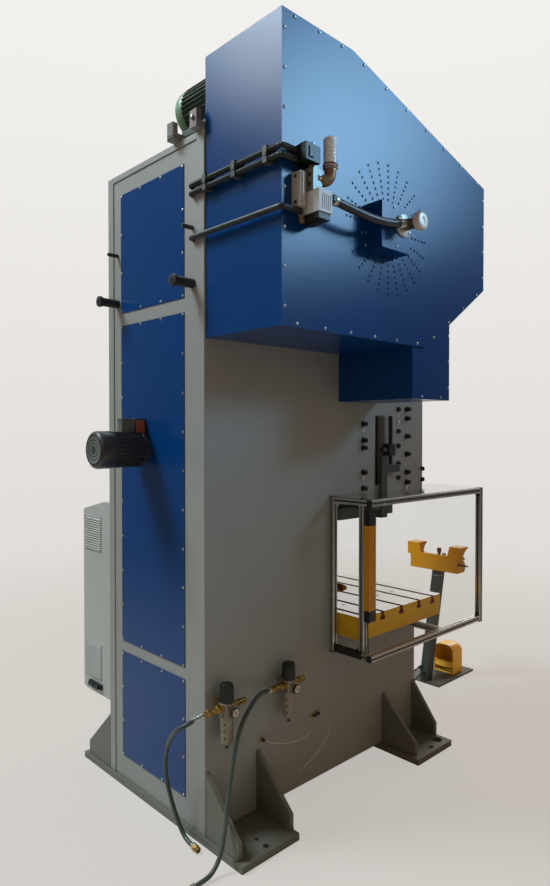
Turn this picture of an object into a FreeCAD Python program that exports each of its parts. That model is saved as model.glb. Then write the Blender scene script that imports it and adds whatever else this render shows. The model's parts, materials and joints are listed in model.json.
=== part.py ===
import FreeCAD
import Part
import math
import os

# Mechanical stamping press with a welded C-frame, its drive, covers, guards, air units, cabinet and
# two-hand control stand. Millimetres. The sizes below are in the machine's own directions: X runs across
# with the flywheel on the -X side, Y = 0 is the rear edge of the side plates and the operator stands at -Y,
# Z = 0 is the floor. Every solid is moved at the end so that the origin is under the middle of the whole.

V = FreeCAD.Vector

# Clearances
seat_gap = 0.3
running_gap = 0.05

# Flat sides that stand for a full turn
shaft_sides = 24
bush_sides = 16
wheel_sides = 40
guide_gap = 0.3

# Frame
frame_height = 2890.0
frame_half_width = 380.0
side_plate_thickness = 50.0
gear_front_room = 26.25
bed_front_reach = 350.0
throat_edge = 795.0
bed_side_height = 630.0
throat_lift = 95.0
throat_corner_radius = 60.0
back_recess = 5.0
back_plate_thickness = 20.0
cross_plate_thickness = 25.0
top_plate_thickness = 28.0
head_front_lap = 20.0
throat_plate_thickness = 40.0
throat_plate_lap = 0.0
bed_plate_thickness = 60.0
drop_hole_radius = 140.0
window_rear_reach = 9.0
window_front_reach = 69.0
window_step = 75.0
window_height = 362.0

# Feet
foot_step = 242.0
foot_thickness = 30.0
rear_foot_back = 10.0
rear_foot_front = 300.0
front_foot_depth_back = 317.0
front_foot_inset = 7.0
gusset_thickness = 20.0
gusset_height = 265.0
gusset_reach = 208.0
gusset_toe = 65.0
front_gusset_reach = 150.0
anchor_offset = 209.0
levelling_offset = 151.0
rear_anchor_y = 145.0
front_anchor_inset = 151.0
anchor_hole_radius = 14.0
levelling_hole_radius = 9.0
lashing_offset = 182.0
lashing_inset = 61.0
lashing_hole_radius = 30.0

# Bolster
bolster_overhang = 160.0
bolster_front_lap = 5.0
bolster_thickness = 110.0
die_centre = 1123.0
slot_pitches = (-280.0, -155.0, 0.0, 155.0, 280.0)
slot_neck = 22.0
slot_neck_depth = 22.0
slot_foot = 38.0
slot_foot_depth = 18.0

# Slide and its guides
shut_face_height = 1230.0
stroke = 180.0
flange_side_gap = 5.0
flange_depth = 490.0
flange_thickness = 60.0
flange_corner_radius = 40.0
slide_body_side_gap = 12.0
slide_body_depth = 420.0
slide_top_drop = 620.0
wing_rear_reach = 78.0
wing_front_reach = 152.0
wing_foot_step = 15.0
wing_top_drop = 20.0
wing_end_gap = 10.0
gib_width = 68.0
rear_gib_reach = 148.0
front_gib_reach = 297.0
gib_foot_step = 20.0
gib_top_drop = 10.0
pocket_half_width = 80.0
pocket_half_depth = 175.0
pocket_depth = 390.0
gib_bolt_flats = 12.0
gib_bolt_head = 13.0
gib_bolt_rows = (
    (-113.0, (519.0, 393.0, 309.0, 271.0, 146.0, 65.0)),
    (187.0, (474.0, 356.0, 277.0, 182.0, 106.0)),
    (265.0, (476.0, 426.0, 328.0, 231.0, 132.0, 78.0)),
)

# Stop bracket on the slide and the scale rod beside it
bracket_gap = 16.0
bracket_thickness = 12.0
bracket_back_step = 9.0
bracket_front_step = 59.0
bracket_rise = 317.0
bracket_foot_height = 30.0
arm_reach = 169.0
arm_bottom_rise = 234.0
arm_top_rise = 274.0
scale_rod_radius = 11.0
scale_rod_offset = 26.0
scale_rod_step = 87.0
scale_rod_bottom_rise = 278.0
scale_rod_top_rise = 531.0
clamp_back_step = 55.0
clamp_front_step = 108.0
clamp_bottom_rise = 323.0
clamp_top_rise = 384.0
clamp_reach = 42.0
clamp_knob_radius = 14.0
sensor_drop = 8.0
sensor_rise = 20.0
sensor_reach = 136.0

# Drive
gear_module = 17.75
gear_teeth = 40
pinion_teeth = 16
tooth_thin = 0.8
tooth_flank_angle = 20.0
shaft_distance_y = 496.0
pinion_depth = 370.0
gear_face = 100.0
gear_wall_room = 80.0
gear_hub_radius = 150.0
gear_hub_length = 30.0
pinion_overlap = 5.0
journal_radius = 80.0
crank_pin_radius = 70.0
crank_pin_half = 75.0
web_thickness = 42.0
web_half_width = 100.0
web_corner = 45.0
big_end_radius = 112.0
big_end_half = 70.0
rod_half_width = 40.0
rod_half_depth = 45.0
small_end_radius = 55.0
small_end_drop = 135.0
pinion_shaft_radius = 50.0
shaft_end_stand = 10.0
shaft_nose_radius = 14.0
nose_reach = 2.0
bush_wall = 12.0
flywheel_radius = 430.0
flywheel_side_gap = 70.0
flywheel_width = 190.0
flywheel_hub_radius = 120.0
flywheel_hub_stand = 8.0
clutch_radius = 170.0
clutch_gap = 4.0
clutch_length = 100.0
clutch_hub_radius = 95.0

# Motor and belt
motor_y = 135.0
motor_radius = 110.0
motor_fin_root = 98.0
motor_fins = 14
motor_cowl_radius = 106.0
motor_length = 290.0
motor_cowl_length = 50.0
motor_flange_reach = 40.0
motor_shaft_radius = 19.0
motor_pulley_radius = 75.0
pulley_margin = 40.0
belt_thickness = 12.0
belt_edge = 5.0
belt_wheel_steps = 20
belt_pulley_steps = 8
motor_box_half = 55.0
motor_box_height = 62.0
rail_length = 300.0
rail_overhang = 32.0
rail_stop_height = 75.0
rail_stop_thickness = 24.0
rail_width = 45.0
rail_height = 30.0
rail_spacing = 160.0
rail_inset = 50.0
motor_foot_thickness = 25.0
motor_foot_inset = 10.0
motor_foot_rise = 14.0

# Flywheel cover
cover_side_room = 55.0
cover_sheet = 3.0
cover_back = 8.0
cover_crest = 396.0
cover_front = 1422.0
cover_heel = 917.0
cover_rise = 282.0
cover_shoulder_rise = 3.0
cover_chin_drop = 505.0
cover_bottom_drop = 835.0
vent_spokes = 24
vent_rings = 3
vent_inner_radius = 125.0
vent_outer_radius = 267.0
vent_half = 5.0
nose_hole_radius = 40.0
lower_cover_step = 10.0
lower_cover_back = 822.0
lower_cover_front = 1124.0
lower_cover_height = 230.0

# Rotary union on its folded bracket
union_bracket_reach = 75.0
union_bracket_sheet = 3.0
union_bracket_back = 487.0
union_bracket_front = 677.0
union_bracket_drop = 110.0
union_bracket_rise = 75.0
union_flange_radius = 46.0
union_flange_thickness = 11.0
union_ring_radius = 24.0
union_ring_length = 57.0
union_cap_radius = 36.0
union_cap_length = 32.0
union_bore_radius = 17.0
hose_fitting_length = 42.0

# Clutch valve
valve_back = 57.0
valve_block_front = 86.0
valve_front = 164.0
valve_block_reach = 44.0
valve_block_drop = 44.0
valve_block_rise = 80.0
valve_box_reach = 100.0
valve_box_drop = 72.0
valve_box_rise = 16.0
valve_body_reach = 72.0
valve_body_front = 140.0
valve_body_rise = 92.0
valve_outlet_length = 32.0
elbow_radius = 24.0
elbow_rise = 60.0
silencer_stand = 73.0
silencer_y = 182.0
silencer_foot_rise = 108.0
silencer_top_rise = 220.0
silencer_radius = 26.0
switch_foot_rise = 112.0
switch_top_rise = 184.0
switch_reach = 78.0
switch_front = 150.0
switch_stem_half = 9.0
clutch_hose_diameter = 32.0

# Duct and supply hose along the cover
duct_diameter = 22.0
duct_upper_rise = 155.0
duct_lower_rise = 123.0
duct_start_inset = 76.0
duct_centre_y = 14.0
duct_corner_reach = 22.0
duct_clamp_steps = (35.0, 211.0, 386.0)
duct_clamp_half = 17.0
supply_hose_diameter = 22.0
supply_hose_drop = 56.0

# Back panels, pins and the lubrication pump motor
panel_left_margin = 90.0
panel_right_margin = 65.0
panel_thickness = 3.0
panel_top_margin = 101.0
top_panel_height = 554.0
upper_panel_gap = 59.0
middle_panel_bottom = 686.0
lower_panel_gap = 50.0
bottom_panel_foot = 137.0
pin_inset = 33.0
pin_drop = 605.0
pin_end_y = 98.0
pin_radius = 20.0
pin_head_radius = 25.0
pin_head_length = 10.0
stub_drop = 378.0
stub_end_y = 48.0
stub_radius = 9.0
pump_x = 65.0
pump_z = 1600.0
pump_radius = 80.0
pump_fin_root = 73.0
pump_fins = 12
pump_body_end = 175.0
pump_end_y = 250.0
pump_flange_radius = 60.0
pump_flange_end = 25.0
pump_box_back = 64.0
pump_box_end = 124.0
pump_box_top = 1736.0
pump_box_half = 24.0
relay_box_back = 3.0
relay_box_end = 55.0

# Air filter-regulators
regulator_stand = 51.0
regulator_rear_y = 72.0
regulator_front_y = 427.0
regulator_half = 24.0
regulator_body_bottom = 522.0
regulator_body_top = 580.0
regulator_knob_radius = 30.0
regulator_knob_height = 75.0
bowl_radius = 29.0
bowl_bottom = 404.0
drain_bottom = 390.0
drain_radius = 8.0
gauge_radius = 20.0
gauge_stand = 22.0
pipe_radius = 12.0
pipe_back_reach = 120.0
hose_sleeve_length = 46.0
hose_sleeve_radius = 13.0
pipe_front_reach = 100.0
pipe_lift = 10.0
pipe_nut_radius = 17.0
mount_arm_half = 12.0
floor_hose_diameter = 18.0
coupling_length = 40.0
coupling_radius = 14.0

# Control cabinet
cabinet_depth = 327.0
cabinet_back = 30.0
cabinet_front = 735.0
cabinet_bottom = 338.0
cabinet_eave = 1279.0
cabinet_top = 1325.0
cabinet_roof_break = 491.0
cabinet_sheet = 3.0
cabinet_lip = 20.0
door_thickness = 22.0
door_margin = 3.0
louvre_inner_inset = 186.0
louvre_outer_inset = 32.0
louvre_bottoms = (421.0, 1075.0)
louvre_count = 14
louvre_pitch = 11.8
louvre_height = 7.0
louvre_stand = 6.0
isolator_z = 1120.0
isolator_radius = 32.0
isolator_length = 34.0
isolator_plate = 4.0
gland_plate_inner_inset = 197.0
gland_plate_outer_inset = 82.0
gland_plate_height = 19.0
gland_plate_rise = 33.0
gland_plate_depth = 12.0

# Guards
guard_side_room = 261.0
guard_back_lap = 44.0
guard_length = 1001.0
guard_bottom = 622.0
guard_top = 1366.0
guard_wing_inset = 82.0
corner_post_inset = 60.0
corner_post_lag = 15.0
profile = 30.0
support_rail_inset = 116.0
sheet_thickness = 4.0
sheet_inset = 6.0
bracket_notch_margin = 14.0
curtain_depth = 50.0
curtain_bottom = 798.0
curtain_top = 1300.0
curtain_edge = 24.0

# Control stand
stand_left = -145.0
stand_right = 120.0
stand_back = 2101.0
stand_front = 2541.0
stand_thickness = 12.0
column_x = -15.0
column_half_width = 30.0
column_half_depth = 32.0
column_foot_y = 2146.0
column_top_y = 2300.0
console_left = -187.0
console_right = 181.0
console_back = 2250.0
console_break = 2300.0
console_front = 2352.0
console_bottom = 732.0
console_deck = 840.0
console_fall = 4.0
console_nose_fall = 50.0
console_chamfer = 14.0
shroud_overhang = 24.0
shroud_top = 906.0
shroud_skirt = 18.0
shroud_lip = 2345.0
shroud_lip_height = 9.0
shroud_waist = 2283.0
shroud_waist_rise = 8.0
shroud_left_inner = -127.0
shroud_right_inner = 111.0
shroud_lean = 17.0
shroud_wall = 10.0
palm_radius = 22.0
palm_stem_radius = 9.0
palm_travel = 8.0
palm_cap_height = 22.0
stop_x = -18.0
stop_radius = 15.0
stop_stem_radius = 11.0
stop_travel = 6.0
stop_cap_height = 28.0
reset_x = -56.0
reset_radius = 12.0
reset_travel = 4.0
reset_stand = 15.0
stem_depth = 12.0
stem_sides = 12
cap_lift = 16.0
console_gland_radius = 6.0
console_gland_length = 68.0
console_gland_inset = 16.0
console_gland_rise = 58.0
hood_left = -105.0
hood_right = 45.0
hood_back = 2342.0
hood_front = 2483.0
hood_top = 207.0
hood_wall = 6.0
hood_shoulder = 36.0
hood_lip_low = 43.0
hood_lip_height = 43.0
hood_lip_reach = 17.0
hood_lip_bevel = 8.0
pedal_height = 74.0
pedal_thickness = 10.0
pedal_lift = 26.0
pedal_pivot_radius = 7.0
stand_cable_diameter = 10.0

# Cord routes, in the machine's directions
clutch_hose_route = (
    (-905.0, -190.0, 2512.0),
    (-908.0, -290.0, 2502.0),
    (-912.0, -395.0, 2494.0),
    (-916.0, -500.0, 2499.0),
    (-917.0, -585.0, 2514.0),
)
rear_floor_hose_route = (
    (-431.0, 94.0, 552.0),
    (-429.0, 130.0, 546.0),
    (-388.0, 150.0, 518.0),
    (-325.0, 130.0, 460.0),
    (-268.0, 106.0, 400.0),
    (-232.0, 92.0, 330.0),
    (-222.0, 82.0, 245.0),
    (-238.0, 70.0, 165.0),
    (-262.0, 58.0, 90.0),
    (-292.0, 50.0, 34.0),
    (-330.0, 50.0, 14.0),
    (-368.0, 52.0, 14.0),
)
front_floor_hose_route = (
    (-431.0, -302.0, 561.0),
    (-440.0, -262.0, 568.0),
    (-464.0, -215.0, 574.0),
    (-478.0, -160.0, 550.0),
    (-481.0, -104.0, 488.0),
    (-483.0, -72.0, 400.0),
    (-494.0, -40.0, 305.0),
    (-520.0, 0.0, 215.0),
    (-543.0, 32.0, 125.0),
    (-556.0, 66.0, 55.0),
    (-560.0, 110.0, 18.0),
    (-562.0, 150.0, 14.0),
    (-563.0, 190.0, 14.0),
)
drain_tube_route = (
    (-398.0, -666.0, 342.0),
    (-428.0, -690.0, 330.0),
    (-450.0, -688.0, 290.0),
    (-452.0, -650.0, 236.0),
    (-440.0, -580.0, 176.0),
    (-420.0, -500.0, 132.0),
)
drip_tube_route = (
    (-398.0, -640.0, 338.0),
    (-436.0, -600.0, 318.0),
    (-448.0, -520.0, 296.0),
    (-444.0, -430.0, 296.0),
    (-424.0, -350.0, 312.0),
    (-398.0, -311.0, 330.0),
)
drain_tube_diameter = 6.0
tube_fitting_radius = 9.0
tube_fitting_length = 12.0
lower_cable_route = (
    (-15.0, -2101.0, 60.0),
    (-18.0, -2040.0, 54.0),
    (-26.0, -1950.0, 16.0),
    (-40.0, -1820.0, 8.0),
    (-38.0, -1700.0, 12.0),
    (-16.0, -1590.0, 50.0),
    (-2.0, -1500.0, 104.0),
)
upper_cable_route = (
    (10.0, -2101.0, 92.0),
    (12.0, -2040.0, 86.0),
    (26.0, -1940.0, 42.0),
    (46.0, -1820.0, 22.0),
    (52.0, -1700.0, 36.0),
    (42.0, -1590.0, 92.0),
    (32.0, -1500.0, 144.0),
)
cable_gland_radius = 10.0
cable_gland_length = 40.0

# Worked out from the sizes above
plate_inner = frame_half_width - side_plate_thickness
gear_tip_radius = gear_module * (gear_teeth / 2 + 1)
throat_top = shut_face_height + throat_lift
bracket_top = shut_face_height + bracket_rise
arm_bottom = shut_face_height + arm_bottom_rise
arm_top = shut_face_height + arm_top_rise
scale_rod_bottom = shut_face_height + scale_rod_bottom_rise
scale_rod_top = shut_face_height + scale_rod_top_rise
clamp_bottom = shut_face_height + clamp_bottom_rise
clamp_top = shut_face_height + clamp_top_rise
head_reach = die_centre + gear_tip_radius + cross_plate_thickness + gear_front_room
pinion_z = frame_height - pinion_depth
foot_half_width = frame_half_width + foot_step
anchor_x = frame_half_width + anchor_offset
levelling_x = frame_half_width + levelling_offset
lashing_x = frame_half_width + lashing_offset
bolster_half_width = frame_half_width + bolster_overhang
gib_inner = plate_inner - gib_width
flange_half_width = plate_inner - flange_side_gap
wing_half_span = plate_inner - wing_end_gap
slide_body_half_width = gib_inner - slide_body_side_gap
scale_rod_x = frame_half_width + scale_rod_offset
flywheel_inner_x = frame_half_width + flywheel_side_gap
flywheel_outer_x = flywheel_inner_x + flywheel_width
shaft_end_x = flywheel_outer_x + flywheel_hub_stand + clutch_gap + clutch_length + shaft_end_stand
cover_face_x = shaft_end_x + cover_side_room
shaft_nose_end = cover_face_x + union_bracket_reach + union_flange_thickness + nose_reach
pulley_inner_x = flywheel_inner_x + pulley_margin
pulley_outer_x = flywheel_outer_x - pulley_margin
motor_body_end = frame_half_width + motor_flange_reach
motor_cowl_end = motor_body_end - motor_length
rail_outer_x = frame_half_width - rail_inset
rail_inner_x = rail_outer_x - rail_spacing
lower_cover_face_x = cover_face_x - lower_cover_step
duct_start_x = frame_half_width - duct_start_inset
silencer_x = cover_face_x + silencer_stand
pin_x = plate_inner - pin_inset
regulator_x = frame_half_width + regulator_stand
cabinet_outer_x = frame_half_width + cabinet_depth
louvre_inner = cabinet_outer_x - louvre_inner_inset
louvre_outer = cabinet_outer_x - louvre_outer_inset
gland_plate_inner = cabinet_outer_x - gland_plate_inner_inset
gland_plate_outer = cabinet_outer_x - gland_plate_outer_inset
guard_outer_x = frame_half_width + guard_side_room
guard_wing_inner = frame_half_width - guard_wing_inset
union_bracket_bottom = pinion_z - union_bracket_drop
union_bracket_top = pinion_z + union_bracket_rise
valve_block_bottom = pinion_z - valve_block_drop
valve_block_top = pinion_z + valve_block_rise
valve_box_bottom = pinion_z - valve_box_drop
valve_box_top = pinion_z + valve_box_rise
valve_body_top = pinion_z + valve_body_rise
elbow_z = pinion_z + elbow_rise
silencer_bottom = pinion_z + silencer_foot_rise
silencer_top = pinion_z + silencer_top_rise
switch_bottom = pinion_z + switch_foot_rise
switch_top = pinion_z + switch_top_rise
duct_upper_z = pinion_z + duct_upper_rise
duct_lower_z = pinion_z + duct_lower_rise
supply_hose_z = pinion_z - supply_hose_drop
slide_top = pinion_z - slide_top_drop
wing_top = slide_top - wing_top_drop
gib_top = wing_top - gib_top_drop
head_front_bottom = slide_top - head_front_lap
small_end_z = slide_top - small_end_drop
pocket_floor = slide_top - pocket_depth
window_bottom = throat_top + window_step
window_top = window_bottom + window_height
wing_bottom = throat_top + wing_foot_step
gib_bottom = throat_top + gib_foot_step
wing_rear = die_centre - wing_rear_reach
wing_front = die_centre + wing_front_reach
rear_gib_back = die_centre - rear_gib_reach
front_gib_front = die_centre + front_gib_reach
window_rear = die_centre - window_rear_reach
window_front = die_centre + window_front_reach
bracket_back = die_centre + bracket_back_step
bracket_front = die_centre + bracket_front_step
arm_front = die_centre + arm_reach
scale_rod_y = die_centre + scale_rod_step
clamp_back = die_centre + clamp_back_step
clamp_front = die_centre + clamp_front_step
sensor_front = die_centre + sensor_reach
pin_z = frame_height - pin_drop
stub_z = frame_height - stub_drop
bed_reach = die_centre + bed_front_reach
bolster_front = bed_reach + bolster_front_lap
front_foot_back = bed_reach - front_foot_depth_back
front_foot_front = bed_reach - front_foot_inset
front_anchor_y = bed_reach - front_anchor_inset
lashing_y = bed_reach - lashing_inset
guard_back = throat_edge - guard_back_lap
guard_front = guard_back + guard_length
support_rail_y = bed_reach - support_rail_inset
throat_plate_top = slide_top + throat_plate_lap
pinion_y = die_centre - shaft_distance_y
gear_inner_x = plate_inner - gear_wall_room - gear_face
motor_z = frame_height + rail_height + motor_foot_thickness + motor_radius
duct_clamp_x = [frame_half_width + step for step in duct_clamp_steps]
panel_left = -plate_inner + panel_left_margin
panel_right = plate_inner - panel_right_margin
top_panel_top = frame_height - panel_top_margin
top_panel_bottom = top_panel_top - top_panel_height
panel_heights = (
    (top_panel_bottom, top_panel_top),
    (middle_panel_bottom, top_panel_bottom - upper_panel_gap),
    (bottom_panel_foot, middle_panel_bottom - lower_panel_gap),
)
cover_bottom = frame_height - cover_bottom_drop
cover_top = frame_height + cover_rise
cover_outline = (
    (-cover_back, cover_bottom),
    (-cover_back, cover_top),
    (-cover_crest, cover_top),
    (-cover_front, frame_height + cover_shoulder_rise),
    (-cover_front, frame_height - cover_chin_drop),
    (-cover_heel, cover_bottom),
)
lower_cover_bottom = cover_bottom - lower_cover_height
bed_top = bed_side_height + bed_plate_thickness
table_top = bed_top + bolster_thickness
table_back = throat_edge + seat_gap
table_front = bolster_front
back_plate_face = -back_recess
centre_distance = gear_module * (gear_teeth + pinion_teeth) / 2
crank_y = die_centre
crank_throw = stroke / 2
crank_z = pinion_z - math.sqrt(centre_distance ** 2 - (die_centre - pinion_y) ** 2)
nose_side_extreme = (
    cover_face_x + union_bracket_reach + union_flange_thickness + union_ring_length + union_cap_length
)
overall_left = -nose_side_extreme
overall_right = cabinet_outer_x + isolator_plate + isolator_length
overall_front = -stand_front
overall_back = pump_end_y
to_origin = V(-(overall_left + overall_right) / 2, -(overall_front + overall_back) / 2, 0)


def box(x0, x1, y0, y1, z0, z1):
    """Block between two opposite corners, given in any order."""
    corner = V(min(x0, x1), min(y0, y1), min(z0, z1))
    return Part.makeBox(abs(x1 - x0), abs(y1 - y0), abs(z1 - z0), corner)


def flat_face(points):
    """Plane face inside a closed outline of points."""
    return Part.Face(Part.makePolygon(list(points) + [points[0]]))


def slab_x(outline, x0, x1):
    """Plate with an outline of (y, z) points, from x0 to x1."""
    return flat_face([V(x0, y, z) for y, z in outline]).extrude(V(x1 - x0, 0, 0))


def slab_y(outline, y0, y1):
    """Plate with an outline of (x, z) points, from y0 to y1."""
    return flat_face([V(x, y0, z) for x, z in outline]).extrude(V(0, y1 - y0, 0))


def bar(start, end, radius):
    """Round bar between two points."""
    run = end - start
    return Part.makeCylinder(radius, run.Length, start, run)


def ring_points(centre, along, radii):
    """Points evenly round a centre, square to a direction, one for each radius given."""
    reference = V(0, 0, 1)
    if abs(along.z) > 0.9 * along.Length:
        reference = V(0, 1, 0)
    across = along.cross(reference).normalize()
    upward = across.cross(along).normalize()
    step = 2 * math.pi / len(radii)
    points = []
    for index, radius in enumerate(radii):
        angle = (index + 0.5) * step
        points.append(centre + across * (radius * math.cos(angle)) + upward * (radius * math.sin(angle)))
    return points


def facet_bar(start, end, radius, sides=12):
    """Bar with flat sides, corners on the given radius."""
    return flat_face(ring_points(start, end - start, [radius] * sides)).extrude(end - start)


def ferrule(end, beside, length, radius, sides):
    """Sleeve whose face meets a cord's end squarely, in line with the cord's first run."""
    end = V(*end)
    run = (V(*beside) - end).normalize()
    return facet_bar(end - run * length, end, radius, sides)


def running_bore(start, end, radius, sides):
    """Flat-sided bore whose flats clear a shaft of the given radius."""
    return facet_bar(start, end, (radius + running_gap) / math.cos(math.pi / sides), sides)


def finned_bar(start, end, tip, root, fins):
    """Bar with straight cooling fins along it."""
    return flat_face(ring_points(start, end - start, [tip, tip, root, root] * fins)).extrude(end - start)


def fuse(first, *others):
    """One solid from solids that touch or overlap, with leftover seams removed."""
    return first.fuse(list(others)).removeSplitter()


def mirror_x(shape):
    """The same shape on the other side of the machine's middle."""
    return shape.mirror(V(0, 0, 0), V(1, 0, 0))


def tube(name, route, diameter, sides):
    """Tube of a flat-sided section along straight runs joined by tangent arcs."""
    points = [V(*place) for place in route]
    edges = []
    radii = []
    start = points[0]
    for before, corner, after in zip(points, points[1:], points[2:]):
        incoming = corner - before
        outgoing = after - corner
        turn = incoming.getAngle(outgoing)
        reach = 0.45 * min(incoming.Length, outgoing.Length)
        incoming.normalize()
        outgoing.normalize()
        radius = reach / math.tan(turn / 2)
        radii.append(radius)
        inward = (outgoing - incoming).normalize()
        arc_start = corner - incoming * reach
        arc_end = corner + outgoing * reach
        arc_middle = corner + inward * (radius * (1 / math.cos(turn / 2) - 1))
        edges.append(Part.LineSegment(start, arc_start).toShape())
        edges.append(Part.Arc(arc_start, arc_middle, arc_end).toShape())
        start = arc_end
    edges.append(Part.LineSegment(start, points[-1]).toShape())
    path = Part.Wire(edges)
    ring = ring_points(points[0], points[1] - points[0], [diameter / 2] * sides)
    section = Part.makePolygon(ring + [ring[0]])
    solid = path.makePipeShell([section], True, False)
    expected = flat_face(ring).Area * path.Length
    print(
        name,
        "length %.0f mm, least radius %.0f mm, volume %.4f of section x length"
        % (path.Length, min(radii), solid.Volume / expected),
    )
    return solid


parts = {}


def keep(name, *solids):
    """Note the solids of one named piece."""
    parts[name] = list(solids)


# ---- Frame: two thick side plates joined by cross plates ----

def side_plate():
    """Left C-shaped plate with its shaft bores and the window at the slide guide."""
    outline = (
        (0.0, foot_thickness),
        (-bed_reach, foot_thickness),
        (-bed_reach, bed_side_height),
        (-throat_edge, bed_side_height),
        (-throat_edge, throat_top),
        (-head_reach, throat_top),
        (-head_reach, frame_height),
        (0.0, frame_height),
    )
    plate = slab_x(outline, -frame_half_width, -plate_inner)
    throat_corner = [
        edge
        for edge in plate.Edges
        if abs(edge.CenterOfMass.y + throat_edge) < 0.1
        and abs(edge.CenterOfMass.z - throat_top) < 0.1
        and abs(edge.Length - side_plate_thickness) < 0.1
    ]
    plate = plate.makeFillet(throat_corner_radius, throat_corner)
    through = side_plate_thickness + 2 * seat_gap
    outside = -frame_half_width - seat_gap
    bores = [
        facet_bar(V(outside, y, z), V(outside + through, y, z), radius + bush_wall, bush_sides)
        for y, z, radius in (
            (-crank_y, crank_z, journal_radius),
            (-pinion_y, pinion_z, pinion_shaft_radius),
        )
    ]
    window = box(outside, outside + through, -window_rear, -window_front, window_bottom, window_top)
    return plate.cut(bores + [window])


def back_plate():
    """Back plate under the top plate, set in a little from the rear edges of the side plates."""
    return box(
        -plate_inner,
        plate_inner,
        back_plate_face,
        back_plate_face - back_plate_thickness,
        foot_thickness,
        frame_height - top_plate_thickness,
    )


def cross_plates():
    """Top, head front, throat and bed front plates between the side plates, with the cable glands."""
    head_inner = -head_reach + cross_plate_thickness
    top = box(-plate_inner, plate_inner, 0, head_inner, frame_height - top_plate_thickness, frame_height)
    head = box(-plate_inner, plate_inner, -head_reach, head_inner, head_front_bottom, frame_height)
    throat = box(
        -plate_inner,
        plate_inner,
        -throat_edge,
        -throat_edge + throat_plate_thickness,
        foot_thickness,
        throat_plate_top,
    )
    bed = box(
        -plate_inner,
        plate_inner,
        -bed_reach,
        -bed_reach + cross_plate_thickness,
        foot_thickness,
        bed_side_height,
    )
    glands = [
        ferrule(route[-1], route[-2], cable_gland_length, cable_gland_radius, 6)
        for route in (lower_cable_route, upper_cable_route)
    ]
    return top, head, throat, fuse(bed, *glands)


def bed_plate():
    """Thick plate under the bolster, with the drop hole."""
    plate = box(
        -frame_half_width, frame_half_width, -throat_edge, -bed_reach, bed_side_height, bed_top
    )
    hole = facet_bar(
        V(0, -die_centre, bed_side_height - 1), V(0, -die_centre, bed_top + 1), drop_hole_radius, bush_sides
    )
    return plate.cut(hole)


def gusset(y, reach):
    """Left triangular gusset between the side plate and the foot."""
    base = foot_thickness
    outline = (
        (-frame_half_width, base),
        (-frame_half_width, base + gusset_height),
        (-frame_half_width - reach, base + gusset_toe),
        (-frame_half_width - reach, base),
    )
    return slab_y(outline, y, y - gusset_thickness)


def foot(back, front, gussets, holes):
    """Base plate across the machine with its gussets and anchor holes."""
    plate = box(-foot_half_width, foot_half_width, back, front, 0, foot_thickness)
    drills = []
    for x, y, radius in holes:
        for side in (-1, 1):
            drills.append(bar(V(side * x, -y, -1), V(side * x, -y, foot_thickness + 1), radius))
    webs = []
    for y, reach in gussets:
        web = gusset(y, reach)
        webs += [web, mirror_x(web)]
    return fuse(plate.cut(drills), *webs)


left_plate = side_plate()
keep("side_plate_left", left_plate)
keep("side_plate_right", mirror_x(left_plate))
keep("back_plate", back_plate())
keep("cross_plates", *cross_plates())
keep("bed_plate", bed_plate())
keep(
    "rear_foot",
    foot(
        rear_foot_back,
        -rear_foot_front,
        ((0.0, gusset_reach), (-rear_foot_front + gusset_thickness, gusset_reach)),
        (
            (anchor_x, rear_anchor_y, anchor_hole_radius),
            (levelling_x, rear_anchor_y, levelling_hole_radius),
        ),
    ),
)
keep(
    "front_foot",
    foot(
        -front_foot_back,
        -front_foot_front,
        (
            (-front_foot_back - gusset_thickness, gusset_reach),
            (-front_foot_front + gusset_thickness, front_gusset_reach),
        ),
        (
            (anchor_x, front_anchor_y, anchor_hole_radius),
            (levelling_x, front_anchor_y, levelling_hole_radius),
            (lashing_x, lashing_y, lashing_hole_radius),
        ),
    ),
)


# ---- Bolster: machined plate with T-slots across the machine ----

def bolster():
    """Bolster plate with its T-slots and the drop hole."""
    plate = box(
        -bolster_half_width, bolster_half_width, -table_back, -table_front, bed_top, table_top
    )
    reach = bolster_half_width + 1
    neck_floor = table_top - slot_neck_depth
    cuts = [bar(V(0, -die_centre, bed_top - 1), V(0, -die_centre, table_top + 1), drop_hole_radius)]
    for pitch in slot_pitches:
        y = -die_centre + pitch
        outline = (
            (y - slot_neck / 2, table_top + 1),
            (y - slot_neck / 2, neck_floor),
            (y - slot_foot / 2, neck_floor),
            (y - slot_foot / 2, neck_floor - slot_foot_depth),
            (y + slot_foot / 2, neck_floor - slot_foot_depth),
            (y + slot_foot / 2, neck_floor),
            (y + slot_neck / 2, neck_floor),
            (y + slot_neck / 2, table_top + 1),
        )
        cuts.append(slab_x(outline, -reach, reach))
    return plate.cut(cuts)


keep("bolster", bolster())


# ---- Slide, its gibs and the bolts that set them ----

def slide():
    """Slide with its bottom flange, guided wings and the pocket for the connecting rod."""
    flange_top = shut_face_height + flange_thickness
    flange = box(
        -flange_half_width,
        flange_half_width,
        -die_centre - flange_depth / 2,
        -die_centre + flange_depth / 2,
        shut_face_height,
        flange_top,
    )
    corners = [edge for edge in flange.Edges if abs(edge.tangentAt(edge.FirstParameter).z) > 0.9]
    flange = flange.makeFillet(flange_corner_radius, corners)
    body = box(
        -slide_body_half_width,
        slide_body_half_width,
        -die_centre - slide_body_depth / 2,
        -die_centre + slide_body_depth / 2,
        flange_top,
        slide_top,
    )
    wings = box(-wing_half_span, wing_half_span, -wing_rear, -wing_front, wing_bottom, wing_top)
    pocket = box(
        -pocket_half_width,
        pocket_half_width,
        -die_centre - pocket_half_depth,
        -die_centre + pocket_half_depth,
        pocket_floor,
        slide_top + 1,
    )
    return fuse(flange, body, wings).cut(pocket)


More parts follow.
